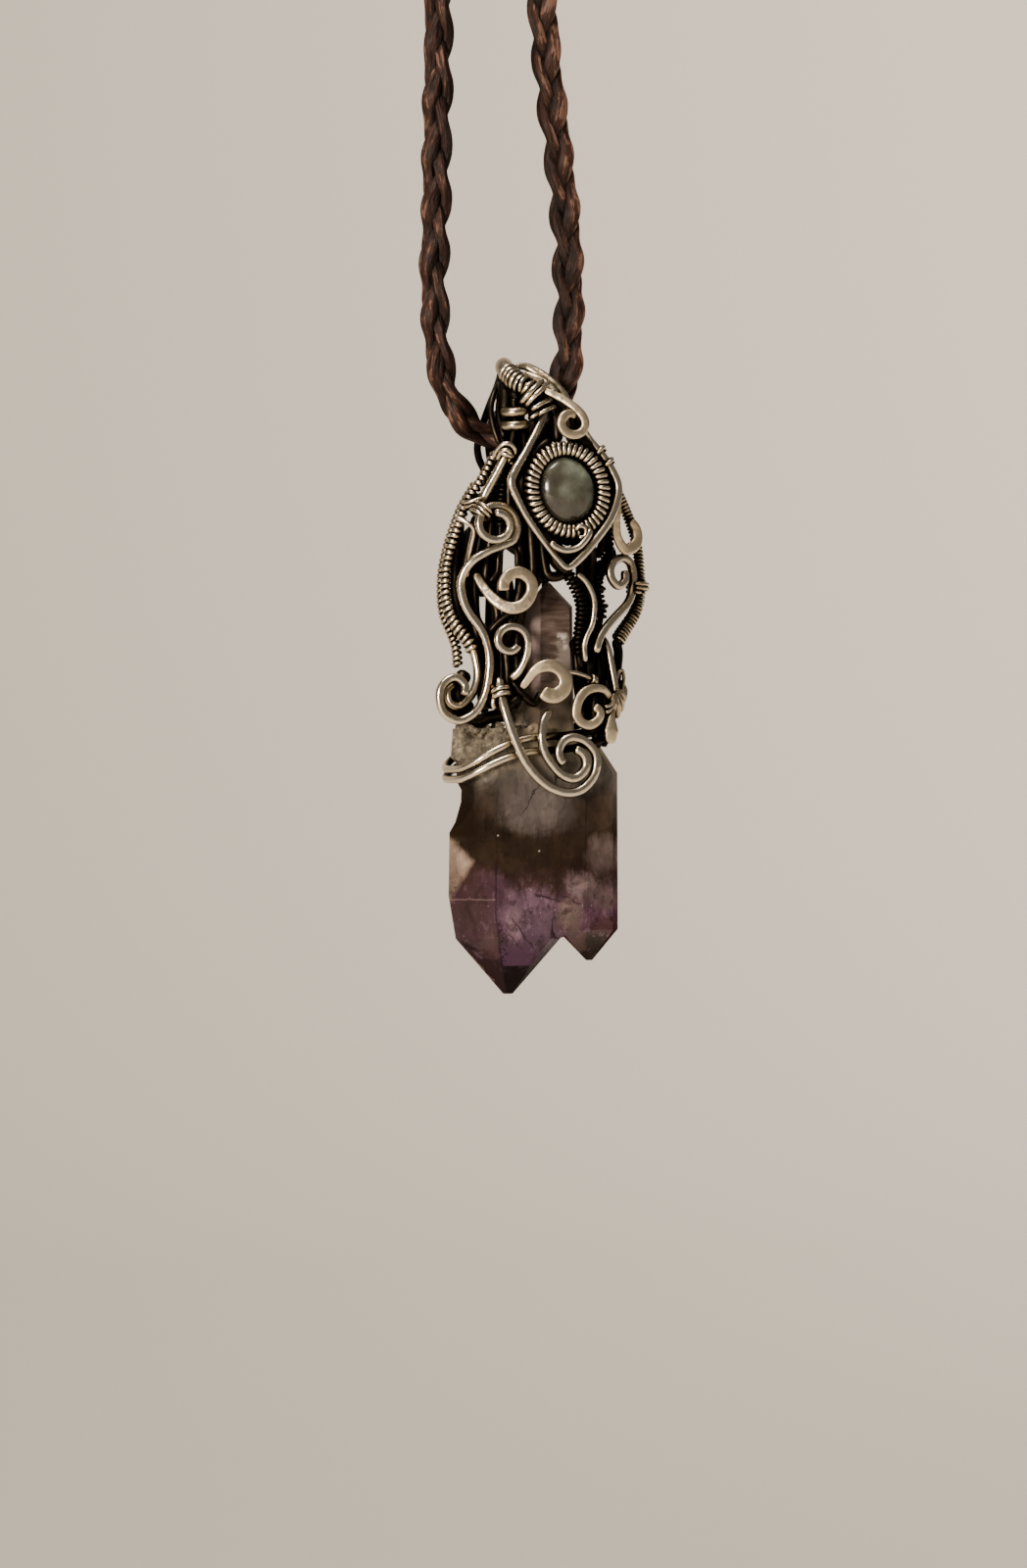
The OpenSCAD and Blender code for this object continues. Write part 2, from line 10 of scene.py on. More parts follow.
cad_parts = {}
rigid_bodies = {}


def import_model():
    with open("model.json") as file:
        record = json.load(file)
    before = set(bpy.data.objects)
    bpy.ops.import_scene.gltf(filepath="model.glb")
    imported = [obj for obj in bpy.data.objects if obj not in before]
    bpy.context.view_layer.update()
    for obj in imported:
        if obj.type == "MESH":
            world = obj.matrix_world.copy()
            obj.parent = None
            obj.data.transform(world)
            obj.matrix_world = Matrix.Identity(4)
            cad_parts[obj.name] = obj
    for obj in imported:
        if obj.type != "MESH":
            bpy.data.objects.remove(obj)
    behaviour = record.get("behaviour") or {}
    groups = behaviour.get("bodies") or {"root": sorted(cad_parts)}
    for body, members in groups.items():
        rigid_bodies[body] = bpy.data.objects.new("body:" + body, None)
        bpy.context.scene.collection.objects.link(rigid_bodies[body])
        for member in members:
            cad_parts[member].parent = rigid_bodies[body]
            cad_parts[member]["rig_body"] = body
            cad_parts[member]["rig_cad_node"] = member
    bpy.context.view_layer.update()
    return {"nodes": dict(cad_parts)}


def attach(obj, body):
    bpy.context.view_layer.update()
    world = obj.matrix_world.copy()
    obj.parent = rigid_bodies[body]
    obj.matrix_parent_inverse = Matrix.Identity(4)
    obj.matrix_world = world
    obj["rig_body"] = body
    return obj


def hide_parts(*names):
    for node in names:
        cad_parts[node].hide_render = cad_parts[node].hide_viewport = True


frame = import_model()
bpy.ops.object.select_all(action="DESELECT")

MM = 0.001
TURN = math.radians(20)      # the face is turned this far from the line of sight
SIDE, DROP = 4.0, 211.0      # the pendant's zero, at the neck of its bail, in mm
SWING = (0.0013, 0.0012, -0.2132)      # a place on the axis that the pendant swings about
FRONT = Vector((0, -1, 0))


# Places and lines

def at(u, z, d):
    """A place on the pendant, in mm: u sideways as seen, z up from its zero, d to the front."""
    return Vector(((u - d*math.sin(TURN))/math.cos(TURN) + SIDE, -d, z - DROP))*MM


def smooth(rows, steps):
    """A soft line through rows of numbers, with this many steps between one row and the next."""
    p = [np.array(r, float) for r in rows]
    out = []
    for i in range(len(p) - 1):
        a, b, c, e = p[max(i - 1, 0)], p[i], p[i + 1], p[min(i + 2, len(p) - 1)]
        for k in range(steps):
            t = k/steps
            out.append(0.5*(2*b + (c - a)*t + (2*a - 5*b + 4*c - e)*t*t
                            + (3*b - 3*c + e - a)*t**3))
    return out + [p[-1]]


def curl(centre, r0, r1, start, sweep, d0, d1, count):
    """Rows of a spiral in the face, from radius r0 to r1, in degrees."""
    rows = []
    for i in range(count):
        t = i/(count - 1)
        a, r = math.radians(start + sweep*t), r0 + (r1 - r0)*t
        rows.append((centre[0] + r*math.cos(a), centre[1] + r*math.sin(a), d0 + (d1 - d0)*t))
    return rows


def line(rows, steps=6):
    """The soft line through rows of u, z, d, as places in the part's frame."""
    return [at(*row) for row in smooth(rows, steps)]


def along(values, t):
    """The value at t, from 0 to 1, along a short list."""
    if len(values) == 1:
        return values[0]
    return float(np.interp(t, np.linspace(0, 1, len(values)), values))


def squarish(angle, power):
    """The cosine and sine of an angle, each to a power below 1, which makes a circle squarer."""
    return (math.copysign(abs(v)**power, v) for v in (math.cos(angle), math.sin(angle)))


def walk(points, step):
    """Points at even steps along a line, with its heading and two sideways directions at each."""
    p = np.array([list(q) for q in points], float)
    run = np.concatenate([[0], np.cumsum(np.linalg.norm(np.diff(p, axis=0), axis=1))])
    s = np.linspace(0, run[-1], max(2, int(run[-1]/step) + 1))
    q = np.stack([np.interp(s, run, p[:, k]) for k in range(3)], 1)
    heading = np.gradient(q, axis=0)
    heading /= np.linalg.norm(heading, axis=1)[:, None]
    side = np.cross(heading[0], (0.1, -0.9, 0.2))
    sides = []
    for h in heading:
        side = side - h*np.dot(side, h)
        side /= np.linalg.norm(side)
        sides.append(side)
    return s, q, heading, np.array(sides), np.cross(heading, sides)


# Objects

def only(*objects):
    """Selects these objects and nothing else."""
    bpy.ops.object.select_all(action="DESELECT")
    for ob in objects:
        ob.select_set(True)
    bpy.context.view_layer.objects.active = objects[0]


def put(name, data):
    """A new object in the scene."""
    ob = bpy.data.objects.new(name, data)
    bpy.context.scene.collection.objects.link(ob)
    return ob


def edit(ob, **steps):
    """Runs mesh operators on all of an object, each with its settings."""
    only(ob)
    bpy.ops.object.mode_set(mode="EDIT")
    bpy.ops.mesh.select_all(action="SELECT")
    for step, settings in steps.items():
        getattr(bpy.ops.mesh, step)(**settings)
    bpy.ops.object.mode_set(mode="OBJECT")


def clean(ob):
    """Merges doubled points and turns the faces outwards."""
    edit(ob, remove_doubles={"threshold": 1e-6}, normals_make_consistent={"inside": False})


def soften(ob, degrees=180):
    """Shades an object smooth, but for edges sharper than these degrees."""
    only(ob)
    if degrees < 180:
        bpy.ops.object.shade_smooth_by_angle(angle=math.radians(degrees))
    else:
        bpy.ops.object.shade_smooth()


def settle(ob):
    """Puts the object's place into its mesh."""
    only(ob)
    bpy.ops.object.transform_apply(location=True, rotation=True, scale=True)


def modify(ob, kind, **settings):
    """Adds a modifier with its settings and applies it."""
    only(ob)
    modifier = ob.modifiers.new(kind.title(), kind)
    for name, value in settings.items():
        setattr(modifier, name, value)
    bpy.ops.object.modifier_apply(modifier=modifier.name)


def join(name, objects):
    """Makes one object of several."""
    only(*objects)
    bpy.ops.object.join()
    ob = bpy.context.view_layer.objects.active
    ob.name = ob.data.name = name
    return ob


def paint(ob, material):
    """Gives an object one material."""
    ob.data.materials.clear()
    ob.data.materials.append(material)


def finish_piece(ob, material, body="pendant", nodes=()):
    """Gives a piece its material, its body and the CAD nodes that it stands for."""
    paint(ob, material)
    if nodes:
        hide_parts(*nodes)
    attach(ob, body)


def spline(data, places, radii, closed=False, tips=(1, 1)):
    """A line through places in a curve. Radii lie along it, and tips are shares at its two ends."""
    data.dimensions = "3D"
    points = data.splines.new("POLY").points
    points.add(len(places) - 1)
    last = len(places) - 1
    for i, (point, place) in enumerate(zip(points, places)):
        point.co = (*place, 1)
        end = min(i, last - i)
        point.radius = along(radii, i/last)*(1 if closed or end > 1 else tips[end])
    data.splines[0].use_cyclic_u = closed
    data.use_fill_caps = not closed


def meshed(name, data, degrees, turn=0):
    """The clean mesh of a curve, turned about X and shaded smooth."""
    ob = put(name, data)
    only(ob)
    bpy.ops.object.convert(target="MESH")
    ob.data.transform(Matrix.Rotation(turn, 4, "X"))
    clean(ob)
    soften(ob, degrees)
    return ob


def wire(name, points, widths, thick=None, power=2, closed=False):
    """A wire bent along points, in metres, with widths in mm along it and its flat side in front.
    Power 2 gives an oval section, more gives flatter faces. It is bent flat and then stood up."""
    widest, count = max(widths), 16
    outline = bpy.data.curves.new("section", "CURVE")
    corners = []
    for i in range(count):
        c, s = squarish(2*math.pi*(i + 0.5)/count, 2/power)
        corners.append((widest/2*MM*c, (thick or widest)/2*MM*s, 0))
    spline(outline, corners, [1], True)
    outline.dimensions = "2D"
    section = put("section", outline)
    data = bpy.data.curves.new(name, "CURVE")
    spline(data, [(x, z, -y) for x, y, z in points], [w/widest for w in widths], closed,
           (0.62, 0.9))
    data.twist_mode = "Z_UP"
    data.bevel_mode, data.bevel_object = "OBJECT", section
    ob = meshed(name, data, 50, math.pi/2)
    bpy.data.objects.remove(section)
    return ob


def strand(name, points, size, sides=2, closed=False):
    """A round wire along any points, in metres, with its thickness in mm, or several along it."""
    data = bpy.data.curves.new(name, "CURVE")
    radii = [s/2 for s in size] if isinstance(size, (list, tuple)) else [size/2]
    spline(data, points, radii, closed, (0.55, 0.88))
    data.bevel_depth, data.bevel_resolution = MM, sides
    return meshed(name, data, 60)


def coil(name, points, outer, wire_d, pitch, start=0.0, end=1.0, per_turn=14):
    """A fine wire wound along points, its outer width a short list. Sizes in mm, ends as shares.
    Each turn lies square to the core in front and steps on to the next turn behind."""
    square = 0.75
    s, q, heading, a, b = walk(points, pitch*MM/per_turn)
    steps = np.arange(len(s))
    angle = 2*np.pi*steps/per_turn
    place = np.clip(steps - square*np.cos(angle)*per_turn/(2*np.pi), 0, len(s) - 1)
    q, a, b = (np.stack([np.interp(place, steps, v[:, k]) for k in range(3)], 1) for v in (q, a, b))
    r = np.array([(along(outer, k/(len(s) - 1)) - wire_d)/2*MM for k in steps])[:, None]
    spot = q + r*(np.cos(angle)[:, None]*a + np.sin(angle)[:, None]*b)
    first, last = int(start*(len(s) - 1)), int(end*(len(s) - 1))
    return strand(name, spot[first:last + 1], wire_d, 1)


def bind(name, middle, up, across, front, half, wire_d, turns, per_turn, start=0.0, tail=0.0):
    """A binding of a few oval turns, wound along up, with two half widths in mm."""
    count, apart = int(per_turn*turns), 1.02
    spots = []
    for k in range(count + 1):
        t = k/count
        w, out = 2*math.pi*turns*t + start, 1 + tail*max(0, t - 0.9)*10
        spots.append(middle + MM*((t - 0.5)*turns*wire_d*apart*up
                                  + out*(half[0]*math.cos(w)*across + half[1]*math.sin(w)*front)))
    return strand(name, spots, wire_d)


def ring_on(name, points, share, core_d, wire_d, turns, tail=0.0):
    """A short binding round a core, at a share of its length. Its tail stands off."""
    s, q, heading, a, b = walk(points, 0.05*MM)
    i, half = int(share*(len(s) - 1)), (core_d + wire_d)/2
    return bind(name, q[i], heading[i], a[i], b[i], (half, half), wire_d, turns, 14, 0.0, tail)


def oval_turns(name, u, z, d, lean, half_w, half_t, wire_d, turns):
    """A binding round several wires, leaning by so many degrees in the face."""
    middle, a = at(u, z, d), math.radians(lean)
    across = (at(u + math.cos(a), z + math.sin(a), d) - middle).normalized()
    return bind(name, middle, FRONT.cross(across), across, FRONT, (half_w, half_t), wire_d, turns,
                18, math.pi/2)


def ring(name, place, turn, radius, wire_d, segments):
    """A plain closed ring at a place, its radius and wire in mm."""
    bpy.ops.mesh.primitive_torus_add(
        major_radius=radius*MM, minor_radius=wire_d/2*MM, major_segments=segments[0],
        minor_segments=segments[1], location=place, rotation=turn)
    ob = bpy.context.object
    ob.name = ob.data.name = name
    settle(ob)
    soften(ob)
    return ob


def skin(rings, n, base=0):
    """The faces of a closed tube over rings of n points each, numbered from base."""
    corners = [(base + n*i + j, base + n*i + (j + 1) % n) for i in range(rings) for j in range(n)]
    faces = [(a, b, b + n, a + n) for a, b in corners[:-n]]
    return faces + [[a for a, b in corners[:n]][::-1], [a for a, b in corners[-n:]]]


def loft(name, rings):
    """A closed mesh over rings of places."""
    mesh = bpy.data.meshes.new(name)
    mesh.from_pydata([v for places in rings for v in places], [], skin(len(rings), len(rings[0])))
    ob = put(name, mesh)
    clean(ob)
    return ob


# Camera, at the photograph's angle: 20 degrees to the object's left and level with it

AZIMUTH = math.radians(-20)
LENS, SENSOR, SEEN = 120, 36, 0.192      # in mm, but the height that is seen in m
right = Vector((math.cos(AZIMUTH), math.sin(AZIMUTH), 0))
away = Vector((math.sin(AZIMUTH), -math.cos(AZIMUTH), 0))
camera_data = bpy.data.cameras.new("camera")
camera_data.lens, camera_data.sensor_width = LENS, SENSOR
camera_data.clip_start, camera_data.clip_end = 0.01, 20
camera = put("camera", camera_data)
middle = Vector((0.004, 0, -0.25516)) - right*0.00192      # what the picture's middle shows
camera.location = middle + away*(SEEN/SENSOR*LENS)
camera.rotation_euler = (math.pi/2, 0, AZIMUTH)
bpy.context.scene.camera = camera


# Shader steps

class Value:
    """An output of a shader node, on which plain arithmetic works."""

    def __init__(self, node, output=0):
        self.tree, self.socket = node.id_data, node.outputs[output]

    def __add__(self, other):
        return calc("ADD", self, other)

    def __sub__(self, other):
        return calc("SUBTRACT", self, other)

    def __rsub__(self, other):
        return calc("SUBTRACT", other, self)

    def __mul__(self, other):
        return calc("MULTIPLY", self, other)

    def __truediv__(self, other):
        return calc("DIVIDE", self, other)

    def __abs__(self):
        return calc("ABSOLUTE", self)


def feed(node, **inputs):
    """Sets a node's inputs, by name or as i0, i1 and so on, to Values or to plain values."""
    for name, value in inputs.items():
        socket = node.inputs[int(name[1:]) if name[1:].isdigit() else name.replace("_", " ")]
        if isinstance(value, Value):
            value.tree.links.new(value.socket, socket)
        else:
            socket.default_value = value


def add(tree, kind, settings=(), out=0, **inputs):
    """Adds one shader node with its own settings and its inputs, and gives one of its outputs."""
    node = tree.nodes.new("ShaderNode" + kind)
    for name, value in dict(settings).items():
        setattr(node, name, value)
    feed(node, **inputs)
    return Value(node, out) if node.outputs else None


def calc(kind, *values):
    """One step of arithmetic on Values and numbers."""
    tree = next(v.tree for v in values if isinstance(v, Value))
    return add(tree, "Math", {"operation": kind}, **{f"i{n}": v for n, v in enumerate(values)})


def colour(code):
    """An sRGB hex colour as the linear values that a shader takes."""
    parts = [int(code[i:i + 2], 16)/255 for i in (1, 3, 5)]
    return [v/12.92 if v <= 0.04045 else ((v + 0.055)/1.055)**2.4 for v in parts] + [1.0]


def new_material(name):
    """An empty material, its node tree and its surface shader."""
    material = bpy.data.materials.new(name)
    material.use_nodes = True
    tree = material.node_tree
    tree.nodes.clear()
    surface = add(tree, "BsdfPrincipled")
    add(tree, "OutputMaterial", Surface=surface)
    return material, tree, surface.socket.node


def in_mm(tree, turned=False):
    """The place on the object in mm, or, turned, its u, depth and height on the pendant."""
    turn = {"Location": (-SIDE*math.cos(TURN), 0, DROP), "Rotation": (0, 0, TURN)} if turned else {}
    return add(tree, "Mapping", Vector=add(tree, "TexCoord", out="Object"), Scale=[1000]*3, **turn)


def recess_of(tree):
    """How closed in a point is, as written further down: patina on the metal, painted shade on the
    cord and the crystal.
    """
    return add(tree, "Attribute", {"attribute_name": "recess"}, "Fac")


def rescale(value, low, high, to_low=0.0, to_high=1.0):
    """Takes low to high on to another range, and holds it there."""
    return add(value.tree, "MapRange", Value=value, i1=low, i2=high, i3=to_low, i4=to_high)


def fade(value, low, high):
    """A soft step from 0 at low to 1 at high."""
    return add(value.tree, "MapRange", {"interpolation_type": "SMOOTHSTEP"}, Value=value, i1=low,
               i2=high)


def ramp(value, *stops):
    """A colour ramp through (place, hex colour) stops."""
    tint = add(value.tree, "ValToRGB", Fac=value)
    points = tint.socket.node.color_ramp.elements
    while len(points) < len(stops):
        points.new(0.5)
    for point, (place, code) in zip(points, stops):
        point.position, point.color = place, colour(code)
    return tint


def blend(tint, *layers):
    """Lays colours over one, each given as its amount and a hex code or a Value."""
    for amount, over in layers:
        over = colour(over) if isinstance(over, str) else over
        tint = add(tint.tree, "MixRGB", Fac=amount, Color1=tint, Color2=over)
    return tint


def bump(height, strength, depth, under=None):
    """Relief so many mm deep, on top of another relief."""
    more = {"Normal": under} if under else {}
    return add(height.tree, "Bump", Strength=strength, Distance=depth*MM, Height=height, **more)


def noise(place, size, detail=2.0, rough=0.5, stretch=(1, 1, 1)):
    """Cloudy noise whose features are about size mm, stretched by factors. Place is in mm."""
    scaled = add(place.tree, "Mapping", Vector=place, Scale=tuple(1/(size*k) for k in stretch))
    return add(place.tree, "TexNoise", Vector=scaled, Scale=1.0, Detail=detail, Roughness=rough)


# Materials

def silver_material(name, bright, mid, deep, rough, hammer):
    """Sterling wire, blackened with liver of sulphur and then rubbed bright on its high spots. The
    patina stays in the crevices, and the rubbed parts keep a soft brushed gloss."""
    material, tree, shader = new_material(name)
    place = in_mm(tree)
    speck = noise(place, 0.25)
    aged = noise(place, 1.6, 3.0)*0.22 + recess_of(tree) + speck*0.1
    dents = bump(noise(place, 0.9, 1.0), hammer, 0.12)
    feed(shader, Metallic=1.0, Roughness=rescale(aged, 0.1, 0.8, rough, rough + 0.3),
         Base_Color=ramp(aged, (0.2, bright), (0.4, mid), (0.6, deep), (0.8, "#0a0806")),
         Normal=bump(speck, 0.25, 0.02, dents))
    return material


silver = silver_material("antiqued_silver_wire", "#fdeed6", "#cab592", "#291f16", 0.19, 0.35)
hammered = silver_material("hammered_silver_wire", "#f4e0c0", "#c9b18a", "#3a2c1e", 0.34, 0.9)
rubbed = silver_material("half_darkened_silver_wire", "#d2c1a4", "#7b6a50", "#1d160f", 0.22, 0.5)
oxidised = silver_material("oxidised_silver_wire", "#3a3229", "#171310", "#080605", 0.3, 0.3)


def cord_material():
    """Waxed linen cord: many dark red-brown threads side by side, with a soft waxy shine."""
    material, tree, shader = new_material("waxed_linen_braid")
    place = in_mm(tree)
    # u runs along the strand in mm and v once round it; about 14 threads show round a strand
    uv = add(tree, "UVMap", {"uv_map": "threads"})
    threads = noise(uv, 1, 2.0, 0.5, (1/0.42, 1/11, 1))
    fibres = noise(uv, 1, 3.0, 0.5, (1/1.5, 1/36, 1))
    # painted shade: darker where the strands close in on one another and on the pendant
    shade = threads + fibres*0.45 + noise(place, 2.2, 4.0)*0.5 - recess_of(tree)*0.8
    # painted light: paler towards the right, so that the strand on the right looks as lit as the
    # one on the left
    shade = shade + add(tree, "SeparateXYZ", out="X", Vector=place)*0.01
    tint = ramp(shade, (0.4, "#080403"), (0.7, "#1f110c"), (0.96, "#3c241b"), (1.0, "#6a4d40"))
    feed(shader, Base_Color=tint, Roughness=0.5, Specular_IOR_Level=0.2,
         Normal=bump(fibres, 0.8, 0.1, bump(threads, 1.0, 0.3)))
    return material


waxed_cord = cord_material()


# The cord, a flat braid of three strands

MOUTH = DROP - (8.7 - 5.0/2) - 6 - 0.1      # where the cord leaves the clasp, above the zero
cord_rows = [
    (-12.7, 0, MOUTH), (-12.7, 0, 180), (-12.6, 0, 160), (-12.4, 0, 135), (-12.1, 0, 110), (-11.9,
    0, 85), (-11.7, 0, 60), (-11.8, 0, 42), (-12, 0, 28), (-12.3, 0, 18), (-12, 0, 11), (-11.2, 0.1,
    5.5), (-9.2, 0.4, 1.4), (-6.2, 0.9, -1), (-2.6, 1.2, -1.7), (0.9, 1.4, -1), (3.6, 1.7, 1.2),
    (5.2, 1.9, 4.6), (5.8, 2, 9), (5.9, 2, 16), (5.5, 1.9, 25), (4, 1.6, 36), (2.4, 1.2, 48), (1.6,
    0.8, 62), (1.9, 0.5, 85), (2.7, 0.3, 110), (3.6, 0.1, 135), (4.4, 0, 160), (4.7, 0, 180), (4.7,
    0, MOUTH)]
cord_line = [Vector((x + SIDE, y, z - DROP))*MM for x, y, z in smooth(cord_rows, 8)]


def braid(name, points):
    """Three strands that cross over one another along points, each a bundle of threads."""
    period, step, around = 19.5*MM, 0.55*MM, 22
    sway, dip = 1.02*MM, 0.62*MM                 # how far a strand swings sideways and forwards
    half_wide, half_thick = 0.98*MM, 0.72*MM
    s, q, heading, a, b = walk(points, step)
    side = np.cross(heading, np.array([math.sin(AZIMUTH), -math.cos(AZIMUTH), 0]))
    side /= np.linalg.norm(side, axis=1)[:, None]
    front = np.cross(side, heading)
    verts, faces, uvs = [], [], []
    t = 2*np.pi*np.arange(around)/around
    # the braid is a little looser here and there, as by hand
    loose = 1 + 0.08*np.sin(s/0.031) + 0.07*np.sin(s/0.0091 + 2)
    phase = 2*np.pi*s/period + 0.5*np.sin(s/0.047)
    taper = np.clip(np.minimum(s, s[-1] - s)/(3*MM), 0.55, 1)
    # it is pulled in at each crossing, most of all near the pendant
    near = np.clip(1.3 - np.abs(s - s[-1]/2)/(75*MM), 0.35, 1)
    taper *= 1 - 0.27*near*(0.5 + 0.5*np.cos(3*phase + 0.9))**1.5
    for k in range(3):
        w = phase + 2*np.pi*k/3
        out, deep = sway*np.sin(w)*loose*taper, dip*np.sin(2*w)*taper
        middle = q + out[:, None]*side + deep[:, None]*front
        run = np.gradient(middle, axis=0)
        run /= np.linalg.norm(run, axis=1)[:, None]
        across = np.cross(run, front)
        across /= np.linalg.norm(across, axis=1)[:, None]
        up = np.cross(across, run)
        wide = half_wide*(1 + 0.09*np.sin(s/0.0031 + 2*k))*taper
        thick = half_thick*(1 + 0.07*np.sin(s/0.0023 + k))*taper
        lobe = (1 + 0.07*np.cos(4*t + s[:, None]/(1.6*MM) + k)
                + 0.04*np.cos(7*t - s[:, None]/(2.3*MM) + 2*k))
        x, y = (wide[:, None]*lobe*np.cos(t))[..., None], (thick[:, None]*lobe*np.sin(t))[..., None]
        base = len(verts)
        verts += (middle[:, None] + x*across[:, None] + y*up[:, None]).reshape(-1, 3).tolist()
        faces += skin(len(s), around, base)
        uvs += [(s[i + di]/MM + 40*k, (j + dj)/around + k) for i in range(len(s) - 1)
                for j in range(around) for di, dj in ((0, 0), (0, 1), (1, 1), (1, 0))]
        uvs += [(s[i]/MM, j/around) for i in (0, -1) for j in range(around)]
    mesh = bpy.data.meshes.new(name)
    mesh.from_pydata(verts, [], faces)
    mesh.uv_layers.new(name="threads").data.foreach_set("uv", np.array(uvs, np.float32).ravel())
    ob = put(name, mesh)
    edit(ob, normals_make_consistent={"inside": False})
    soften(ob)
    return ob


cord = braid("cord_braid", cord_line)
finish_piece(cord, waxed_cord, "cord", ["cord"])
paint(frame["nodes"]["clasp"], silver)


# The wires, each along the route of its solid

FRAME_D, CORE_D, BAND_D, THIN_D = 1.0, 0.85, 0.95, 0.55
wires = []


def made(ob, material, *nodes):
    """Keeps a finished wire piece, and says which CAD nodes it stands for."""
    finish_piece(ob, material, nodes=nodes)
    wires.append(ob)
    return ob


# Routes that other pieces follow, or that have a form of their own
routes = {
    "left_spine": [(-1.9, 2.6, 4.5), (-1.8, 1.1, 4.75), (-1.8, -0.5, 4.75), (-2.2, -3, 4.2),
        (-3, -6, 3.4), (-3.4, -10, 3.2), (-3.6, -16, 3.2), (-3.8, -22, 3), (-3.4, -28, 3.4),
        (-3.4, -32, 4), (-3.2, -35, 4.6)],
    "left_rod": [(-2.3, -3.4, 5.9), (-2.9, -4.5, 5.7), (-4.2, -7, 5.2), (-5.4, -9.2, 4.8),
        (-6.1, -11.6, 4.2)],
    "long_spiral": [(-3.7, -31.4, 5.4), (-3.4, -33.5, 6.2), (-2.7, -36.1, 7), (-1.6, -39.1, 7.3),
        (-0.5, -41.5, 7.4), (0.8, -43.2, 7.4), (2.2, -44.4, 7.4), (3.8, -45.1, 7.4),
        (5.2, -45.2, 7.4), (6.5, -44.7, 7.4), (7.6, -43.5, 7.4), (8.1, -42.1, 7.4),
        (8.1, -40.8, 7.4), (7.6, -39.8, 7.4), (6.6, -38.9, 7.4), (5.4, -38.5, 7.4),
        (4.3, -38.8, 7.4), (3.6, -39.8, 7.4), (3.6, -40.9, 7.4), (4.1, -41.7, 7.4)],
    "right_coil": [(8.2, -3, 2.2), (9.2, -5, 2), (10.6, -7.8, 1.6), (11.9, -10.6, 1.2),
        (12.95, -13.4, 0.9), (13.45, -16, 0.8), (13.65, -18.6, 0.8), (13.6, -21, 0.8),
        (13.1, -22.9, 0.9), (12.1, -24.6, 1.2), (11.3, -25.8, 1.6), (10.75, -26.8, 1.9)],
    "left_coil_front": [(-3.9, -3.6, 3.4), (-5.6, -6.9, 3.4), (-7.6, -10, 3), (-8.6, -12.8, 2.4),
        (-9.4, -15.2, 1.8), (-10, -17.8, 1.4), (-10.1, -20.6, 1.3), (-9.7, -23.2, 1.6),
        (-8.5, -25.4, 2.4), (-7.2, -27, 3), (-6.5, -29.2, 3.3), (-6.3, -31.4, 3.5),
        (-7, -33.4, 3.7), (-8.4, -34.7, 3.8), (-9.6, -34.3, 3.7), (-9.8, -32.9, 3.5),
        (-9, -32.1, 3.4)],
    "left_coil_back": [(-6.4, -7.4, 1.8), (-8.2, -10.4, 1.4), (-9.3, -13.2, 0.9),
        (-10.1, -15.8, 0.3), (-10.6, -18.4, 0), (-10.7, -21, -0.1), (-10.4, -23.6, 0.2),
        (-9.5, -25.8, 0.9), (-8.9, -27.6, 1.4), (-8.7, -30, 1.6)],
    "dark_coil_left": [(2.6, 0.4, 3.4), (2.4, -4, 3.8), (2.6, -9, 4), (3.3, -14, 4.2),
        (4.2, -17.4, 4.4), (5.2, -19.4, 4.4), (6, -21, 4.3), (6.4, -22.8, 4.2), (6.2, -25, 4.1),
        (6, -27.2, 4), (6.2, -30, 4)],
    "dark_coil_right": [(7.2, -4.6, 2.6), (8.6, -8, 2.6), (9.4, -12, 2.6), (9.7, -15.4, 2),
        (9.3, -17.1, 1.7), (8.5, -18.6, 2.4), (8.4, -20.2, 2.8), (8.6, -21.8, 3), (8.8, -23.4, 3),
        (8.4, -25.4, 2.9), (7.8, -27.6, 3.1), (7.4, -30.4, 3.6)],
    "back_left": [(-3.3, 6.9, -1.4), (-3.9, 4.8, -3.6), (-5.2, 1.6, -5.2), (-6.3, -2, -5.9),
        (-6.2, -4, -5.8), (-5.4, -6, -5.4), (-4.8, -10, -5.2), (-4.8, -16, -5.2), (-5, -24, -5.4),
        (-5.2, -32, -6), (-5.6, -36.5, -7), (-5.8, -39.5, -7.2), (-5.9, -42, -7.2)],
    "back_right": [(-1.8, 5.6, -2.2), (-2.2, 4, -3.8), (-2.9, 1, -5.4), (-2.6, -3, -5.9),
        (-0.5, -7, -5.6), (1.4, -12, -5.2), (2, -20, -5.2), (1.8, -28, -5.6), (1.6, -33, -6.4),
        (1.4, -37, -7.2), (1.4, -41, -7.2)],
    "bail_arch": [(-3.1, 7, 0.2), (-2.9, 6.4, 1.6), (-2, 5.2, 3.4), (-0.9, 4.3, 4.7),
        (-0.2, 3.9, 5.3), (0.3, 3.1, 5.6)],
    "bail_strap": [(-1.5, 7, -0.4), (0.2, 6.9, -0.8), (1.8, 5.9, 0.2), (2.6, 4.7, 1.8),
        (2.8, 3.2, 3.4), (2.3, 1.7, 4.2)],
    "diamond_frame": [(1.9, 1.8, 5), (1.3, -0.4, 5.6), (-0.4, -3.9, 6.6), (-1.8, -6.4, 7.2),
        (-2.2, -7.7, 7.4), (-1.7, -9.2, 7.5), (-0.4, -11.7, 7.6), (1.5, -14.5, 7.6),
        (3.6, -17.1, 7.6), (4.7, -17.9, 7.6), (6.2, -16.7, 7.6), (8.1, -14.4, 7.5),
        (9.7, -12.1, 7.3), (10.6, -9.7, 7), (10.8, -7.9, 6.8), (10.2, -6.2, 6.7), (8.9, -4.1, 6.4),
        (7.5, -2.4, 5.8), (6.6, -1, 5)],
    "link_wire": [(4.6, -30.5, 6.3), (5.8, -30.7, 6.2), (7, -31.1, 6), (8.2, -31.8, 5.5)],
}

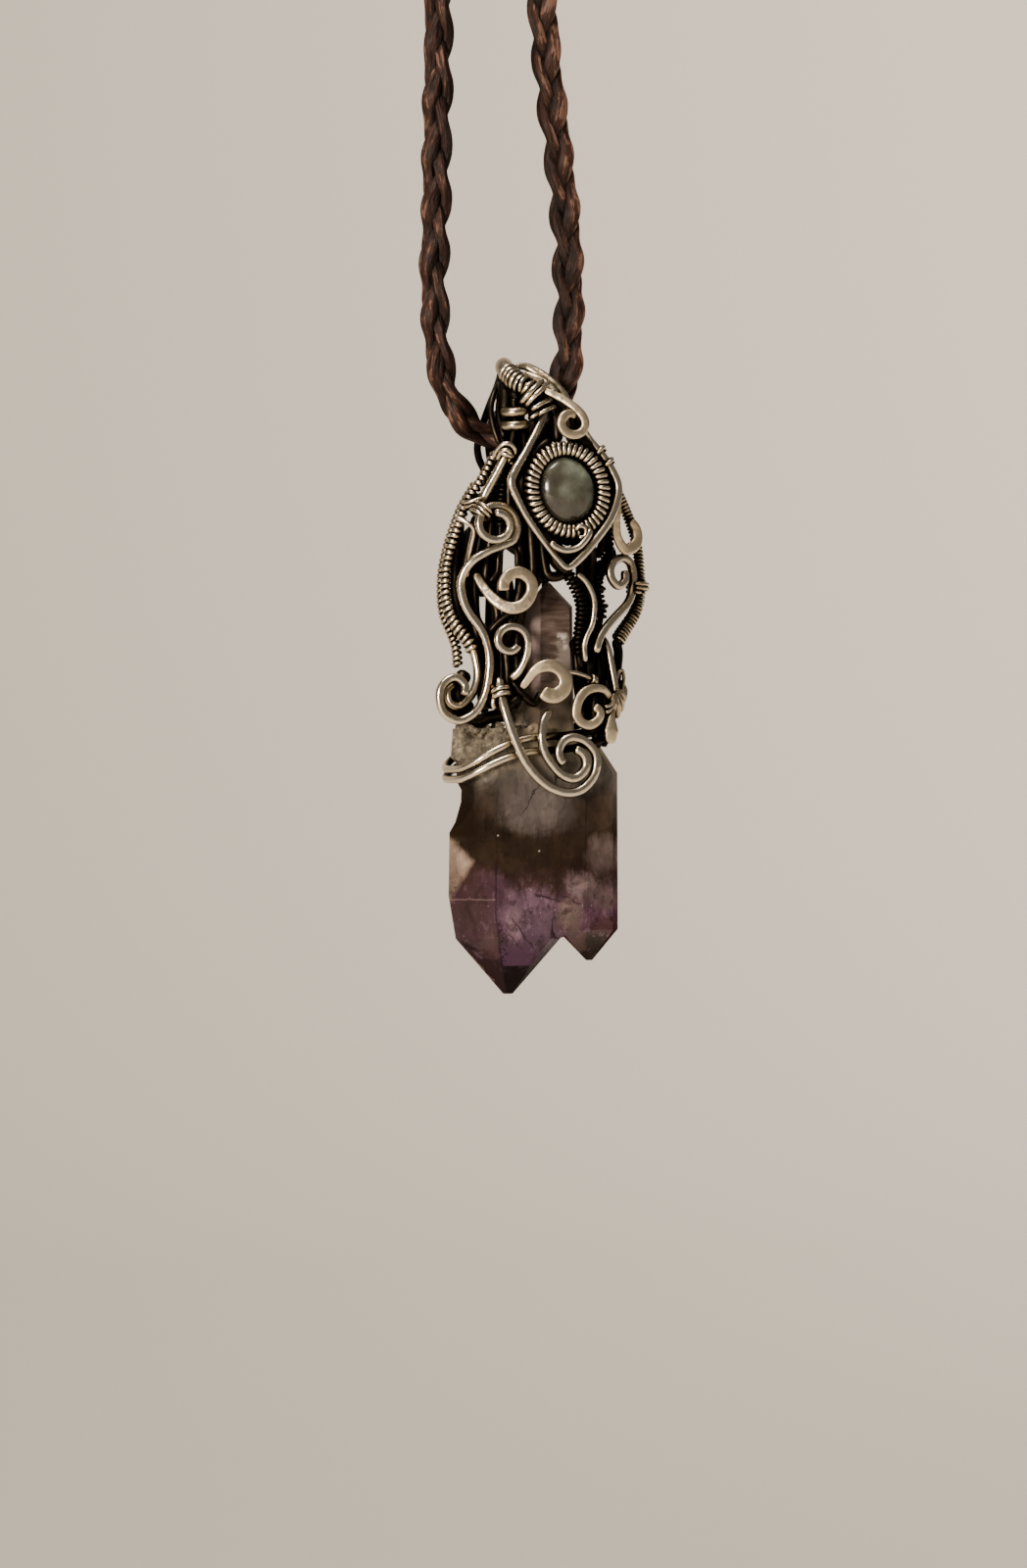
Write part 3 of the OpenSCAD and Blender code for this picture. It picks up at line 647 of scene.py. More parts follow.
# Scrolls that were hammered flat: rows, widths
flat_scrolls = {
    "top_scroll": ([(1.8, 3.6, 6.5), (3.8, 2.65, 7.2), (5.4, 1.55, 7.8), (6.45, 0.45, 8.1),
        (6.75, -0.6, 8.1), (6.3, -1.5, 8.1), (5.35, -1.85, 8.1), (4.35, -1.5, 8.1),
        (3.85, -0.55, 8.1), (4.15, 0.35, 8.1), (4.95, 0.75, 8), (5.6, 0.45, 7.8)],
        [0.8, 1.1, 1.1, 1.15, 1.15, 0.9]),
    "broad_scroll": ([(-6.5, -18.7, 4), (-5.7, -20.1, 4.7), (-4.65, -21.45, 5.5),
        (-3.4, -22.45, 6.2), (-2, -22.9, 6.6), (-0.65, -22.4, 6.8), (0.2, -21.1, 6.8),
        (0.25, -19.8, 6.8), (-0.45, -18.9, 6.8), (-1.5, -18.55, 6.8), (-2.5, -18.95, 6.8),
        (-3.05, -19.8, 6.8), (-3.1, -20.8, 6.8)], [0.9, 1.25, 1.5, 1.5, 1.5, 1.5, 1.4]),
    "centre_scroll": ([(-0.9, -32.5, 6), (0, -31.3, 6.6), (0.75, -30.4, 7.1), (1.7, -29.9, 7.3),
        (2.75, -29.85, 7.4), (3.75, -30.4, 7.4), (4.35, -31.4, 7.4), (4.2, -32.6, 7.4),
        (3.3, -33.4, 7.4), (2.3, -33.4, 7.4), (1.6, -32.9, 7.4)],
        [0.8, 1.2, 1.5, 1.65, 1.8, 1.9, 1.7]),
    "right_lower_scroll": ([(9.9, -33.7, 5), (9.1, -32.7, 5.9), (7.9, -32.5, 6.6), (6.7, -33, 7),
        (5.9, -34.2, 7.2), (5.7, -35.7, 7.2), (6.3, -36.7, 7.2), (7.3, -37, 7.2), (8.3, -36.4, 7.2),
        (8.6, -35.4, 7.2), (7.9, -34.7, 7.2)], [0.8, 1.2, 1.2, 1]),
    "teardrop_scroll": ([(10.9, -8.9, 4.8), (10.75, -10.6, 4.7), (10.6, -12.2, 4.5),
        (10.8, -14, 4.2), (11.7, -15.4, 3.7), (12.7, -15.1, 3.4), (13.25, -14.2, 3.2),
        (13.15, -12.9, 3.1), (12.5, -11.9, 3.3)], [0.8, 1.1, 1.15, 1.5, 1.3, 1]),
    "paddle": ([(10.3, -34.6, 4.6), (10.1, -36, 5.9), (10, -37.6, 6.3), (9.9, -39.2, 6.2)],
        [0.6, 0.8, 1.8, 1.1]),
}
for node, (rows, widths) in flat_scrolls.items():
    thick = 0.6 if node == "paddle" else 0.75
    made(wire(node + "_strip", line(rows), widths, thick, 3.2), hammered, node)

# Round wires, a little flattened on the face by the hammer: rows, widths, flatness
round_wires = {
    "s_scroll": (curl((-4, -12.8), 1.35, 2.7, 95, -505, 7.3, 5.7, 40) + smooth([(-4.6, -15.8, 5.6),
        (-6.5, -16.9, 5.3), (-7.7, -18.2, 4.9), (-8.3, -19.9, 4.6), (-8, -21.9, 4.6),
        (-7.2, -23.6, 4.8), (-6, -25.2, 5.1), (-5.2, -26.9, 5.3), (-4.8, -28.8, 5.4),
        (-4.9, -31, 5.4), (-5.4, -33.4, 5.2), (-6.6, -35.5, 5), (-8.5, -36.5, 4.8),
        (-10.2, -35.7, 4.6), (-10.8, -34.2, 4.5), (-10.7, -32.6, 4.5), (-9.8, -31.5, 4.5),
        (-8.7, -31.3, 4.6), (-7.8, -32.2, 4.8), (-7.9, -33.4, 5)], 3), [0.98], 2.9),
    "small_scroll": (curl((-2.3, -26.9), 1, 2.1, -30, -333, 6.4, 6.4, 28) + [(-0.4, -28.7, 6.2),
        (-1.2, -30.4, 5.9), (-2.3, -31.4, 5.3)], [0.98], 2.6),
    "long_spiral": (routes["long_spiral"], [1.08], 2.7),
    "inner_spiral": ([(2.5, -35.2, 6.4), (1.75, -36.4, 6.9), (1.5, -37.9, 7.3), (1.6, -39.5, 7.4),
        (2.1, -40.9, 7.4), (2.95, -42.1, 7.4), (4, -43.1, 7.4), (5.15, -43.5, 7.4),
        (6.15, -43.1, 7.4), (6.8, -42.2, 7.4), (6.85, -41.2, 7.4), (6.35, -40.35, 7.4),
        (5.5, -39.9, 7.4)], [0.95, 1.02, 1.05, 1.15, 1.2, 1.1], 2.7),
    "diamond_frame": (routes["diamond_frame"],
        [1, 1.04, 1.04, 0.85, 0.72, 0.8, 1.04, 1.04, 1, 0.9, 0.8], 2.6),
    "left_rod": (routes["left_rod"], [1.1], 2.5),
    "bezel_hook": ([(2.6, -14.9, 8.5), (3.2, -15.5, 8.6), (4.4, -15.9, 8.6), (5.9, -15.5, 8.6),
        (7, -14.3, 8.6), (7.4, -13.3, 8.5)], [CORE_D - 0.1], 2.2),
    "v_wire": ([(-8.8, -11.9, 4), (-7.6, -12.5, 4.7), (-6.7, -13.4, 4.9), (-7, -15.2, 4.5),
        (-7.3, -16.9, 3.9), (-7.5, -19, 3.4)], [THIN_D], 2),
    "link_wire": (routes["link_wire"], [THIN_D], 2),
    "right_sweep": ([(11.7, -18, 3.2), (11.7, -19.2, 3.3), (10.9, -19.9, 3.5), (10.1, -19.1, 3.6),
        (9.9, -17.9, 3.5), (10.4, -16.9, 3.1), (11.4, -16.4, 2.6), (12.3, -16.9, 2.2),
        (12.7, -18.1, 2.1), (12.7, -19.6, 2.1), (12.5, -21, 2.1), (11.9, -22.2, 2.4),
        (10.7, -23.5, 3), (9.4, -25, 3.9), (8.5, -26.5, 4.5), (8.1, -28.1, 4.7)], [1.05], 2.6),
    "inner_right_wire": ([(5.9, -18.6, 6), (7, -19.7, 5.8), (7.8, -21.4, 5.6), (7.9, -23, 5.5),
        (7.6, -24.8, 5.4), (7, -26.1, 5.3), (6.7, -27.3, 5.2), (6.8, -29.2, 5.1)], [0.7], 2.5),
    "right_stem": ([(9.2, -26.4, 3.2), (9.7, -27.8, 3.9), (10.1, -30, 4.3), (10.45, -32, 4.5),
        (10.7, -33.6, 4.6)], [0.7, 0.9, 0.85], 2.4),
}
for node, (rows, widths, power) in round_wires.items():
    path = line(rows, 2 if len(rows) > 40 else 5)
    made(wire(node + "_bent", path, widths, None, power), silver, node)

# The leaf, the small petals beside it, and a dark strip of painted shade on the paddle's
# turned-down side
blade = line([(11.2, -31.4, 2.2), (11.4, -32.6, 2.5), (11.2, -33.9, 2.6), (10.9, -35.3, 2.4)])
made(wire("leaf_blade", blade, [0.5, 1.5, 1.6, 0.5], 0.9, 2.2), silver, "leaf")
petals = {
    "petal_right": [(10.6, -32.7, 5), (11.2, -33.3, 4.6), (11.6, -34.2, 3.9)],
    "petal_low_right": [(10.6, -32.9, 5.2), (11.1, -34, 4.8), (11.3, -35.3, 4.1)],
    "petal_low": [(10.5, -33.1, 5.3), (10.75, -34.6, 4.9), (10.8, -36.1, 4.2)],
    "petal_left": [(10.4, -33.1, 5.3), (10.25, -34.4, 5.2), (10, -35.6, 4.9)],
}
for name, rows in petals.items():
    made(wire(name, line(rows, 8), [0.5, 0.9, 1.1, 1.0, 0.45], 0.6, 2.2), rubbed)
# painted shade: the paddle's turned-down side, drawn as a dark strip of wire
back = line([(9.9, -35.4, 5.4), (9.6, -36.8, 6.0), (9.5, -38.2, 6.1), (9.6, -39.2, 6.0)])
made(wire("paddle_painted_shade", back, [0.6, 0.9, 1.2, 0.7], 0.7, 2.4), oxidised)

# Darkened wires
spine_line = line(routes["left_spine"])
made(wire("left_spine_wire", spine_line, [BAND_D]), oxidised, "left_spine")
for node, size, sides in (("bail_strap", CORE_D, 2), ("back_left", BAND_D, 3),
                          ("back_right", BAND_D, 3)):
    made(strand(node + "_wire", line(routes[node]), size, sides), oxidised, node)
for node, core, start, end in (("dark_coil_left", 0.8, 0.5, 0.95),
                               ("dark_coil_right", 0.7, 0.3, 0.75)):
    path = line(routes[node])
    body = strand(node + "_core", path, [core + 0.1, core, core + 0.1])
    wrap = coil(node + "_wrap", path, [core + 0.86], 0.48, 0.6, start, end)
    made(join(node + "_wound", [body, wrap]), oxidised, node)

# Wires with a fine coil on them: where it ends, core widths, outer widths, its wire and pitch
for node, end, widths, outer, wire_d, pitch in (
        ("left_coil_front", 0.7, [0.5, 0.5, 0.5, 0.6, 1.0, 1.05, 0.95, 0.8],
         [1.3, 1.4, 1.5, 1.6, 2.0, 2.0, 2.0], 0.6, 0.7),
        ("left_coil_back", 0.995, [0.5], [1.25, 1.3, 1.35, 1.4], 0.54, 0.62),
        ("right_coil", 0.99, [0.9], [1.35, 1.4, 1.45, 1.4, 1.7, 2.0], 0.42, 0.46)):
    path = line(routes[node])
    core = wire(node + "_core", path, widths)
    turns = coil(node + "_turns", path, outer, wire_d, pitch, 0.01, end)
    made(join(node + "_wound", [core, turns]), silver, node)

# Bindings of a few turns
for node, u, z, d, lean, half_w, half_t, turns in (
        ("left_binding_upper", -6.2, -9.7, 4.0, 20, 1.75, 1.1, 1.7),
        ("left_binding_lower", -5.7, -11.2, 5.3, -38, 1.2, 1.5, 2.7),
        ("right_binding", 13.35, -19.9, 1.5, 2, 1.25, 1.25, 2.7)):
    made(oval_turns(node + "_turns", u, z, d, lean, half_w, half_t, 0.52, turns), silver, node)
for node, route, share, turns in (("rod_collar", "left_rod", 0.12, 1.6),
                                  ("stem_binding", "long_spiral", 0.055, 2.4)):
    made(ring_on(node + "_turns", line(routes[route]), share, FRAME_D + 0.2, 0.65, turns, 0.15),
         silver, node)
lean = (math.radians(9), math.radians(-8), 0)
for node, row in zip(("neck_wrap_upper", "neck_wrap_lower"), routes["left_spine"][1:3]):
    made(ring(node + "_turn", at(*row), lean, 1.175, 1.2, (40, 18)), rubbed, node)

# The saddle on the cord, three wires side by side
saddle = [ring("saddle_ring", ((SIDE + i)*MM, *SWING[1:]), (0, math.pi/2, 0), 3.4, 1.0, (48, 16))
          for i in (-3.6, -2.7, -1.8)]
made(join("bail_saddle_wires", saddle), oxidised, "bail_saddle")

# The arch of the bail: a smooth knob and seven turns
arch_line = line(routes["bail_arch"], 8)
knob = strand("arch_knob", arch_line[:15], [2.0, 2.24, 2.28, 2.24, 2.12], 6)
core = strand("arch_core", arch_line[8:], 1.4, 3)
turns = coil("arch_turns", arch_line, [2.5, 2.75, 2.7], 0.58, 0.66, 0.29, 0.99, 20)
made(join("bail_arch_wound", [knob, core, turns]), silver, "bail_arch")

# The worn straps behind the arch, flattened
for name, rows, widths in (
        ("bail_rear_strap", [(-1.6, 6.9, 0.6), (-0.2, 6.8, 0.8), (1.4, 5.9, 1.6), (2.9, 4.8, 2.6),
                             (4.1, 3.6, 3.4), (4.7, 2.7, 3.9)], [0.7, 1.0, 1.2, 1.1, 0.9, 0.6]),
        ("bail_front_strap", [(-0.6, 5.8, 2.2), (0.8, 5.2, 3.0), (2.2, 4.4, 3.8), (3.2, 3.4, 4.6)],
         [1.0, 1.3, 1.3, 1.0])):
    made(wire(name, line(rows, 8), widths, 0.8, 2.4), rubbed)


# The setting

def oval(a, b, t, d):
    """A point of the leaning oval of the setting, at angle t."""
    x, y = a*math.cos(t), b*math.sin(t)
    c, s = math.cos(math.radians(12)), math.sin(math.radians(12))
    return at(4.6 + x*c - y*s, -8.5 + x*s + y*c, d)


def setting_coil():
    """Forty-four turns of wire wound round the oval, and the dark core inside them."""
    turns, per_turn, corners = 44, 14, 60
    half_w, half_h, d = 4.3, 5.05, 7.2
    spots = []
    for i in range(turns*per_turn):
        t, w = 2*math.pi*i/(turns*per_turn), 2*math.pi*i/per_turn
        middle = oval(half_w, half_h, t, d)
        out = (oval(half_w + 1, half_h + 1, t, d) - middle).normalized()
        c, s = squarish(w, 0.75)
        spots.append(middle + 0.68*MM*(c*out + 0.92*s*FRONT))
    wound = strand("setting_turns", spots + spots[:1], 0.58)
    inner = [oval(half_w, half_h, 2*math.pi*i/corners, d) for i in range(corners)]
    core = wire("setting_core", inner, [0.84], closed=True)
    return join("bezel_coil_wound", [wound, core])


made(setting_coil(), silver, "bezel_coil")


def band(middle, low, high):
    """A ring round the crystal, lower on the left and higher on the right."""
    half_w, half_t, count = 9.75, 6.1, 240
    points = []
    for i in range(count + 1):
        t = 2*math.pi*i/count
        x, y = squarish(t, 0.5)
        z = middle + math.cos(t)*(low if x < 0 else high)
        points.append(Vector((SIDE - 0.15 + half_w*x, half_t*y, z - DROP))*MM)
    return [Vector(place) for place in walk(points, 0.5*MM)[1]][:-1]


bands = [made(strand(node + "_wire", band(*place), BAND_D, 3, True), silver, node)
         for node, place in (("band_upper", (-38.4, 4.0, 2.0)), ("band_lower", (-40.1, 3.5, 2.3)))]


def lay(groups, material, steps, sides):
    """Lays round wires, each its size and then its rows. Several in one group are lettered."""
    for group, members in groups.items():
        for letter, (size, *rows) in zip("abcdefgh", members):
            name = f"{group}_{letter}" if len(members) > 1 else group
            made(strand(name, line(rows, steps), size, sides), material)


# Bright ends and small wraps
small_wires = {
    "bail_wrap_long": [
        [0.66, (-1.2, 1.7, 5), (-0.7, 2.4, 6.4), (0.4, 3.6, 6.9), (1.3, 4.5, 6.3), (1.6, 4.9, 4.8)],
        [0.66, (-0.6, 1.4, 5.2), (-0.1, 2.1, 6.5), (1, 3.2, 7), (2, 4.2, 6.3), (2.3, 4.5, 4.8)]],
    "bail_wrap_short": [
        [0.62, (0.1, 1, 5.2), (0.5, 1.4, 6.4), (1.4, 1.9, 6.7), (2.3, 2.4, 6.1), (2.6, 2.5, 4.8)],
        [0.56, (1, 0.4, 5.2), (1.3, 0.8, 6.4), (2.1, 1.2, 6.6), (2.8, 1.6, 6.1), (3.1, 1.7, 4.8)],
        [0.5, (-0.1, 0.2, 5.4), (0.4, 0.4, 6.1), (1.1, 0.9, 6.2), (1.6, 1.2, 5.4)]],
    "setting_loop": [
        [0.5, (5.6, -13.4, 8.1), (6.1, -12.9, 8.4), (6.8, -13.2, 8.5), (6.7, -14.1, 8.4),
         (6, -14.3, 8.3)]],
    "stem_binding_tail": [
        [0.55, (-4.2, -33.6, 6.1), (-4.4, -34.4, 6.1), (-4.2, -35.1, 6.1)]],
    "prong_upper": [
        [0.42, (10.5, -33.6, 5.2), (9.95, -34.5, 5.8), (9.2, -34.75, 6)]],
    "prong_lower": [
        [0.42, (10.4, -34.2, 5.2), (9.9, -35.1, 5.8), (9.3, -35.5, 6)]],
    "side_loop": [
        [0.45, (10.6, -32, 2.9), (10.9, -30.6, 2.8), (11.4, -30.2, 2.7), (11.6, -31.2, 2.7),
         (11.4, -32.6, 2.8), (10.9, -33.8, 3)]],
    "curl_lip": [
        [0.62, (-4.3, -4.7, 5), (-3.9, -3.8, 5.7), (-3.2, -3.1, 6.3), (-2.3, -3.1, 6.6),
         (-1.75, -3.9, 6.3), (-1.9, -5.2, 5.6)]],
    "curl_lip_in": [
        [0.5, (-3.9, -4.9, 5.6), (-3.4, -4, 6.4), (-2.7, -3.8, 6.8), (-2.3, -4.4, 6.6),
         (-2.5, -5.2, 6)]],
}
lay(small_wires, silver, 6, 3)
made(ring_on("link_binding", line(routes["link_wire"]), 0.85, THIN_D, 0.42, 2.4), silver)
diamond_line = line(routes["diamond_frame"])
for i, share in enumerate((0.885, 0.925)):
    made(ring_on(f"diamond_wrap_{i + 1}", diamond_line, share, FRAME_D, 0.5, 1.3), silver)
made(coil("spine_turns", spine_line, [BAND_D + 0.87], 0.46, 0.6, 0.2, 0.42), oxidised)
dark_line = line(routes["dark_coil_right"])
for i, share in enumerate((0.5, 0.62, 0.7)):
    made(ring_on(f"dark_wrap_{i + 1}", dark_line, share, 1.1, 0.5, 1.2), oxidised)

# The blackened wires packed between the scrolls and the crystal: partly real blackened wire and
# partly painted shade, as they fill the dark there; the shadow ones stand only for shade
packed_wires = {
    "packed_left": [
        [1.2, (-8.3, -12.5, 2), (-8.75, -15, 1.6), (-8.95, -18, 1.3), (-9, -21, 1.2),
         (-8.5, -23.6, 1.6), (-7.6, -25.6, 2.2), (-7, -27.5, 2.6), (-6.2, -29.5, 2.9),
         (-5.6, -32, 3.2), (-5.2, -35, 3.5)],
        [1.3, (-6.4, -11.5, 2.6), (-7.2, -15, 2.2), (-7.9, -19, 1.9), (-7.6, -22, 2),
         (-6.7, -24.8, 2.4), (-6.1, -27, 2.8)],
        [1.1, (-5.4, -10, 2.2), (-5.9, -14, 2.1), (-6.6, -18, 2), (-6.6, -21.5, 2),
         (-6.4, -24, 2.1), (-5.4, -26, 2.6), (-4.8, -30, 3), (-4.4, -34, 3.6)],
        [1.25, (-4.3, -8, 2.6), (-4.5, -12, 2.8), (-4.9, -15.6, 2.8), (-5.3, -18.5, 2.8),
         (-5.1, -20.6, 2.8), (-4.4, -21.8, 3), (-3.9, -23.4, 3.2), (-4.1, -25.5, 3.2),
         (-4.6, -28, 3.2), (-4.2, -31, 3.5)],
        [1.4, (-3.5, -5, 3), (-3.6, -9, 2.9), (-3.5, -12, 2.9), (-3, -14.4, 3), (-2, -15.4, 3.3),
         (-1.4, -15.8, 3.5)]],
    "packed_middle": [
        [1.4, (-1.4, -9, 3.4), (-1.3, -13, 3.6), (-1.1, -17, 4), (-1.1, -20, 4.2),
         (-1.6, -22.5, 4.2), (-2.4, -25, 4), (-2.8, -28, 3.8), (-2.6, -31, 4), (-2.8, -34, 4.4)],
        [1.35, (-0.4, -5, 4.2), (-0.1, -10, 4.4), (0.2, -14, 4.2), (0.4, -17.5, 4.2),
         (0.2, -20, 4.3), (-0.9, -22.2, 4.2), (-1.4, -25, 3.8), (-1.5, -28, 3.8),
         (-1.4, -31.5, 4.2)],
        [1.3, (1, -5, 4), (1.2, -11, 4.2), (1.5, -15, 4), (2, -18.2, 4.2), (2.6, -18.9, 4.4),
         (3.9, -18.7, 4.4), (4.8, -17.6, 4.3), (5.6, -15, 4)],
        [1.3, (-3.3, -22.6, 3.6), (-3.2, -26, 3), (-3.4, -29, 3.2), (-3.6, -32, 3.6),
         (-3.4, -35, 4.2)],
        [1.35, (-2.2, -23.5, 3.2), (-1.3, -26, 3.4), (-0.8, -29, 3.5), (-1.2, -32, 3.9),
         (-1.8, -35, 4.4)],
        [1.2, (3.4, -13.6, 4.6), (3, -15.4, 4.8), (3.2, -17.2, 5), (4.6, -18.4, 5)]],
    "packed_cross": [
        [0.8, (-5.6, -26.8, 3.4), (-4.6, -25.4, 3.9), (-3.4, -24.2, 4.4), (-2, -23.4, 4.9)],
        [0.7, (-4.8, -19.6, 4), (-3.9, -18.4, 4.1), (-3.7, -16.4, 4), (-2.9, -15.3, 4.2),
         (-1.6, -15.9, 4.4), (-1.5, -18, 4.4)]],
    "packed_right_loop": [
        [1, (8, -13.6, 0.8), (9.2, -14.5, 1), (10.2, -15.6, 1), (10.1, -17.2, 0.9), (8.9, -18.3, 1),
         (7.7, -18.9, 1.4)]],
    "packed_right": [
        [1.3, (6.9, -12.8, 3.4), (7.6, -15.5, 2.8), (7.6, -17.6, 2.6), (7.3, -19.6, 3),
         (7.2, -22.5, 3.2), (7.2, -26, 3), (7.3, -30, 3.2), (7.6, -34.5, 3.6)],
        [1.2, (5.3, -26.5, 3.3), (5.7, -28.5, 3.5), (5.9, -31.5, 3.7), (6.3, -35, 4)],
        [1.35, (8.2, -24.5, 1.7), (8.5, -28.5, 2.1), (8.7, -31.5, 2.6), (8.9, -36, 3.2)],
        [1.3, (9, -26, 1.2), (9.6, -30, 1.6), (10, -33.5, 2), (10, -38, 2.6)],
        [1.2, (9.5, -31.5, 4.2), (9.3, -34, 4.4), (9.4, -36.5, 4.5), (9.1, -39.6, 4.7)],
        [1.2, (8.2, -31.6, 4.8), (7.9, -34.5, 5), (8, -37, 5.1), (8.4, -39.8, 5.1)],
        [1.3, (6.5, -22, 1.8), (6.6, -26.5, 2.2), (6.6, -30.5, 2.8), (6.8, -34, 3.2)],
        [1.1, (8.6, -9.6, 3.4), (9.2, -12.4, 2.8), (9, -14.6, 2.2), (8.3, -16.4, 2)]],
    "packed_low_left": [
        [1.1, (-5.6, -32.5, 3.9), (-4.4, -34.4, 4.2), (-2.8, -34.8, 4.7), (-1, -33.4, 4.8)]],
    "packed_low_middle": [
        [1, (-2.2, -31.5, 4.6), (-0.9, -33.2, 4.9), (0.6, -34.4, 4.8), (1.4, -33, 4.6)]],
    "shadow_left": [
        [1.7, (-7, -13, 1), (-8.2, -17, 0.6), (-8.3, -21, 0.6), (-7.6, -24, 1), (-6.6, -27, 1.6),
         (-5.8, -31, 2.2), (-5.4, -35, 2.8)],
        [1.6, (-5, -9, 1.6), (-5.6, -13, 1.4), (-6.9, -18, 1.2), (-7, -21.5, 1.2), (-6.8, -24, 1.4),
         (-5.4, -26.4, 1.8), (-4.8, -30, 2.2), (-4.6, -35, 3)],
        [1.8, (-3, -7, 2), (-4.2, -12, 1.8), (-4.6, -16.4, 1.6), (-4.5, -19.5, 1.8),
         (-3.7, -21.6, 2), (-3.3, -24, 2.2), (-3.8, -27, 2.2), (-4, -31, 2.6), (-3.6, -35.5, 3.2)],
        [1.4, (-2.7, -19.2, 2.6), (-2.5, -20.6, 2.6), (-2.6, -22.4, 2.6), (-2.9, -24.4, 2.6)],
        [1.2, (-5.6, -16, 1.8), (-5.8, -18.6, 1.8), (-5.7, -21.4, 1.8)]],
    "shadow_middle": [
        [1.8, (-1, -8, 2.4), (-0.9, -13, 2.6), (-0.5, -17, 3), (-0.6, -20.5, 3.2), (-1.4, -24, 3),
         (-1.8, -28, 3), (-2, -33, 3.4)],
        [1.7, (0.6, -6, 2.8), (0.9, -12, 3), (1.2, -16, 3.4), (0.9, -19, 3.6), (-0.4, -21, 3.6)]],
    "shadow_diamond": [
        [1.3, (2.4, -15.6, 3.6), (3, -17, 3.6), (4, -17.9, 3.6), (5.2, -17.6, 3.4)]],
    "shadow_right": [
        [1.5, (6.2, -15, 2.2), (6.4, -18, 2), (6.4, -20.6, 2), (6.6, -24, 2), (6.7, -28, 2.2),
         (6.9, -33, 2.8)],
        [1.4, (7.5, -20, 1), (7.7, -24, 1.2), (8, -28, 1.6), (8.3, -33, 2.2)],
        [1.8, (8.9, -26.5, 0.8), (9.2, -30, 1.2), (9.4, -34, 1.8)],
        [1.9, (6.2, -32.2, 3.2), (6.7, -34.4, 3.2), (6.6, -37.2, 3.4)],
        [1.2, (10.6, -26.4, 1.8), (10.95, -28, 1.7), (10.8, -30, 2), (10.6, -32.4, 2.2)]],
    "shadow_tail": [
        [1.7, (-9.6, -31.4, 2.6), (-10.1, -32.8, 2.6), (-9.9, -34.4, 2.6), (-8.6, -35.4, 2.6)],
        [2, (-7.6, -30.6, 2.2), (-8.6, -32.2, 2.2), (-8.3, -34.2, 2.4), (-7, -35.2, 2.6)],
        [1.6, (-8.9, -35.9, 2.4), (-6.8, -36.6, 2.6), (-4.6, -36, 2.8), (-2.6, -35.8, 3.2)]],
    "shadow_bail": [
        [2.2, (-2.5, 5.2, 2.2), (-1.7, 3.4, 3.4), (-1.5, 1.6, 3.6), (-1.8, -0.8, 3.8)]],
    "shadow_bail_left": [
        [1.8, (-3.1, 4.9, 1.8), (-2.9, 3.2, 2.8), (-2.9, 1.6, 3.2), (-2.8, -0.2, 3.4)]],
    "shadow_arch": [
        [2, (-0.8, 5.6, 1.4), (0.4, 4.2, 2.8), (0.8, 2.2, 3.8), (0.8, 0, 4.2)]],
    "packed_neck": [
        [1.5, (-1, 3.6, 3.8), (0.2, 2, 4.1), (1.2, 0.2, 4.3), (1.4, -2.2, 4.4), (0.6, -5, 4.6)],
        [1.6, (0.8, 4.6, 2.8), (2.2, 2.8, 3.4), (3.2, 0.6, 4), (3.4, -2.6, 4.6)],
        [1.5, (2.4, 3.2, 3.6), (3.6, 2.2, 3.8), (4.6, 0.9, 4), (5.2, -2.6, 4.4)],
        [1.4, (-1.2, 0.4, 3.2), (-0.6, -1.6, 3.7), (-0.6, -4, 4.2), (-1.4, -6.6, 4.4),
         (-1, -9.4, 4.4)],
        [1.3, (4.4, 2, 4.2), (5.3, 1.1, 3.9), (6, 0.2, 3.6), (6.6, -2.4, 4)],
        [1.2, (-2.7, -2, 3.6), (-2.4, -5, 3.8), (-2.5, -9, 3.6), (-2.3, -13, 3.6)]],
    "setting_back_left": [
        [1.5, (2.5, -2.4, 6), (0.4, -4.6, 6), (-0.9, -7.6, 6), (-0.2, -10.6, 6), (1.8, -13.4, 6.1),
         (4.7, -16.4, 6.3), (7.4, -13.6, 6.1), (9.2, -10.8, 6), (9.9, -8.2, 5.8), (9, -5.2, 5.8),
         (7.2, -3, 5.8), (4.8, -1.8, 6)]],
    "setting_back_right": [
        [1.3, (3.6, -3.4, 5.6), (1.2, -4.8, 5.6), (0.2, -8, 5.6), (1.2, -11.4, 5.6),
         (4.6, -14.6, 5.7), (7.6, -12, 5.6), (8.9, -8.6, 5.5), (8, -5, 5.5), (5.6, -3.2, 5.6)]],
    "bail_side_loop": [
        [0.8, (-3.4, 5, 0.8), (-4.3, 3.4, 1.6), (-4.7, 1.4, 2.3), (-4.4, -0.6, 2.8),
         (-3.8, -2.4, 3.2), (-3, -4, 3)]],
    "bail_side_loop_in": [
        [0.9, (-2.8, 4.6, 1.4), (-3.5, 3, 2.2), (-3.7, 1, 2.8), (-3.4, -0.8, 3.4),
         (-3, -2.2, 3.8)]],
    "bail_side_wire": [
        [0.8, (-3.5, -3, -3.9), (-4.6, -4.4, -3.2), (-5, -6, -2), (-4.2, -7.6, -0.4)]],
}
lay(packed_wires, oxidised, 5, 2)


# Stones

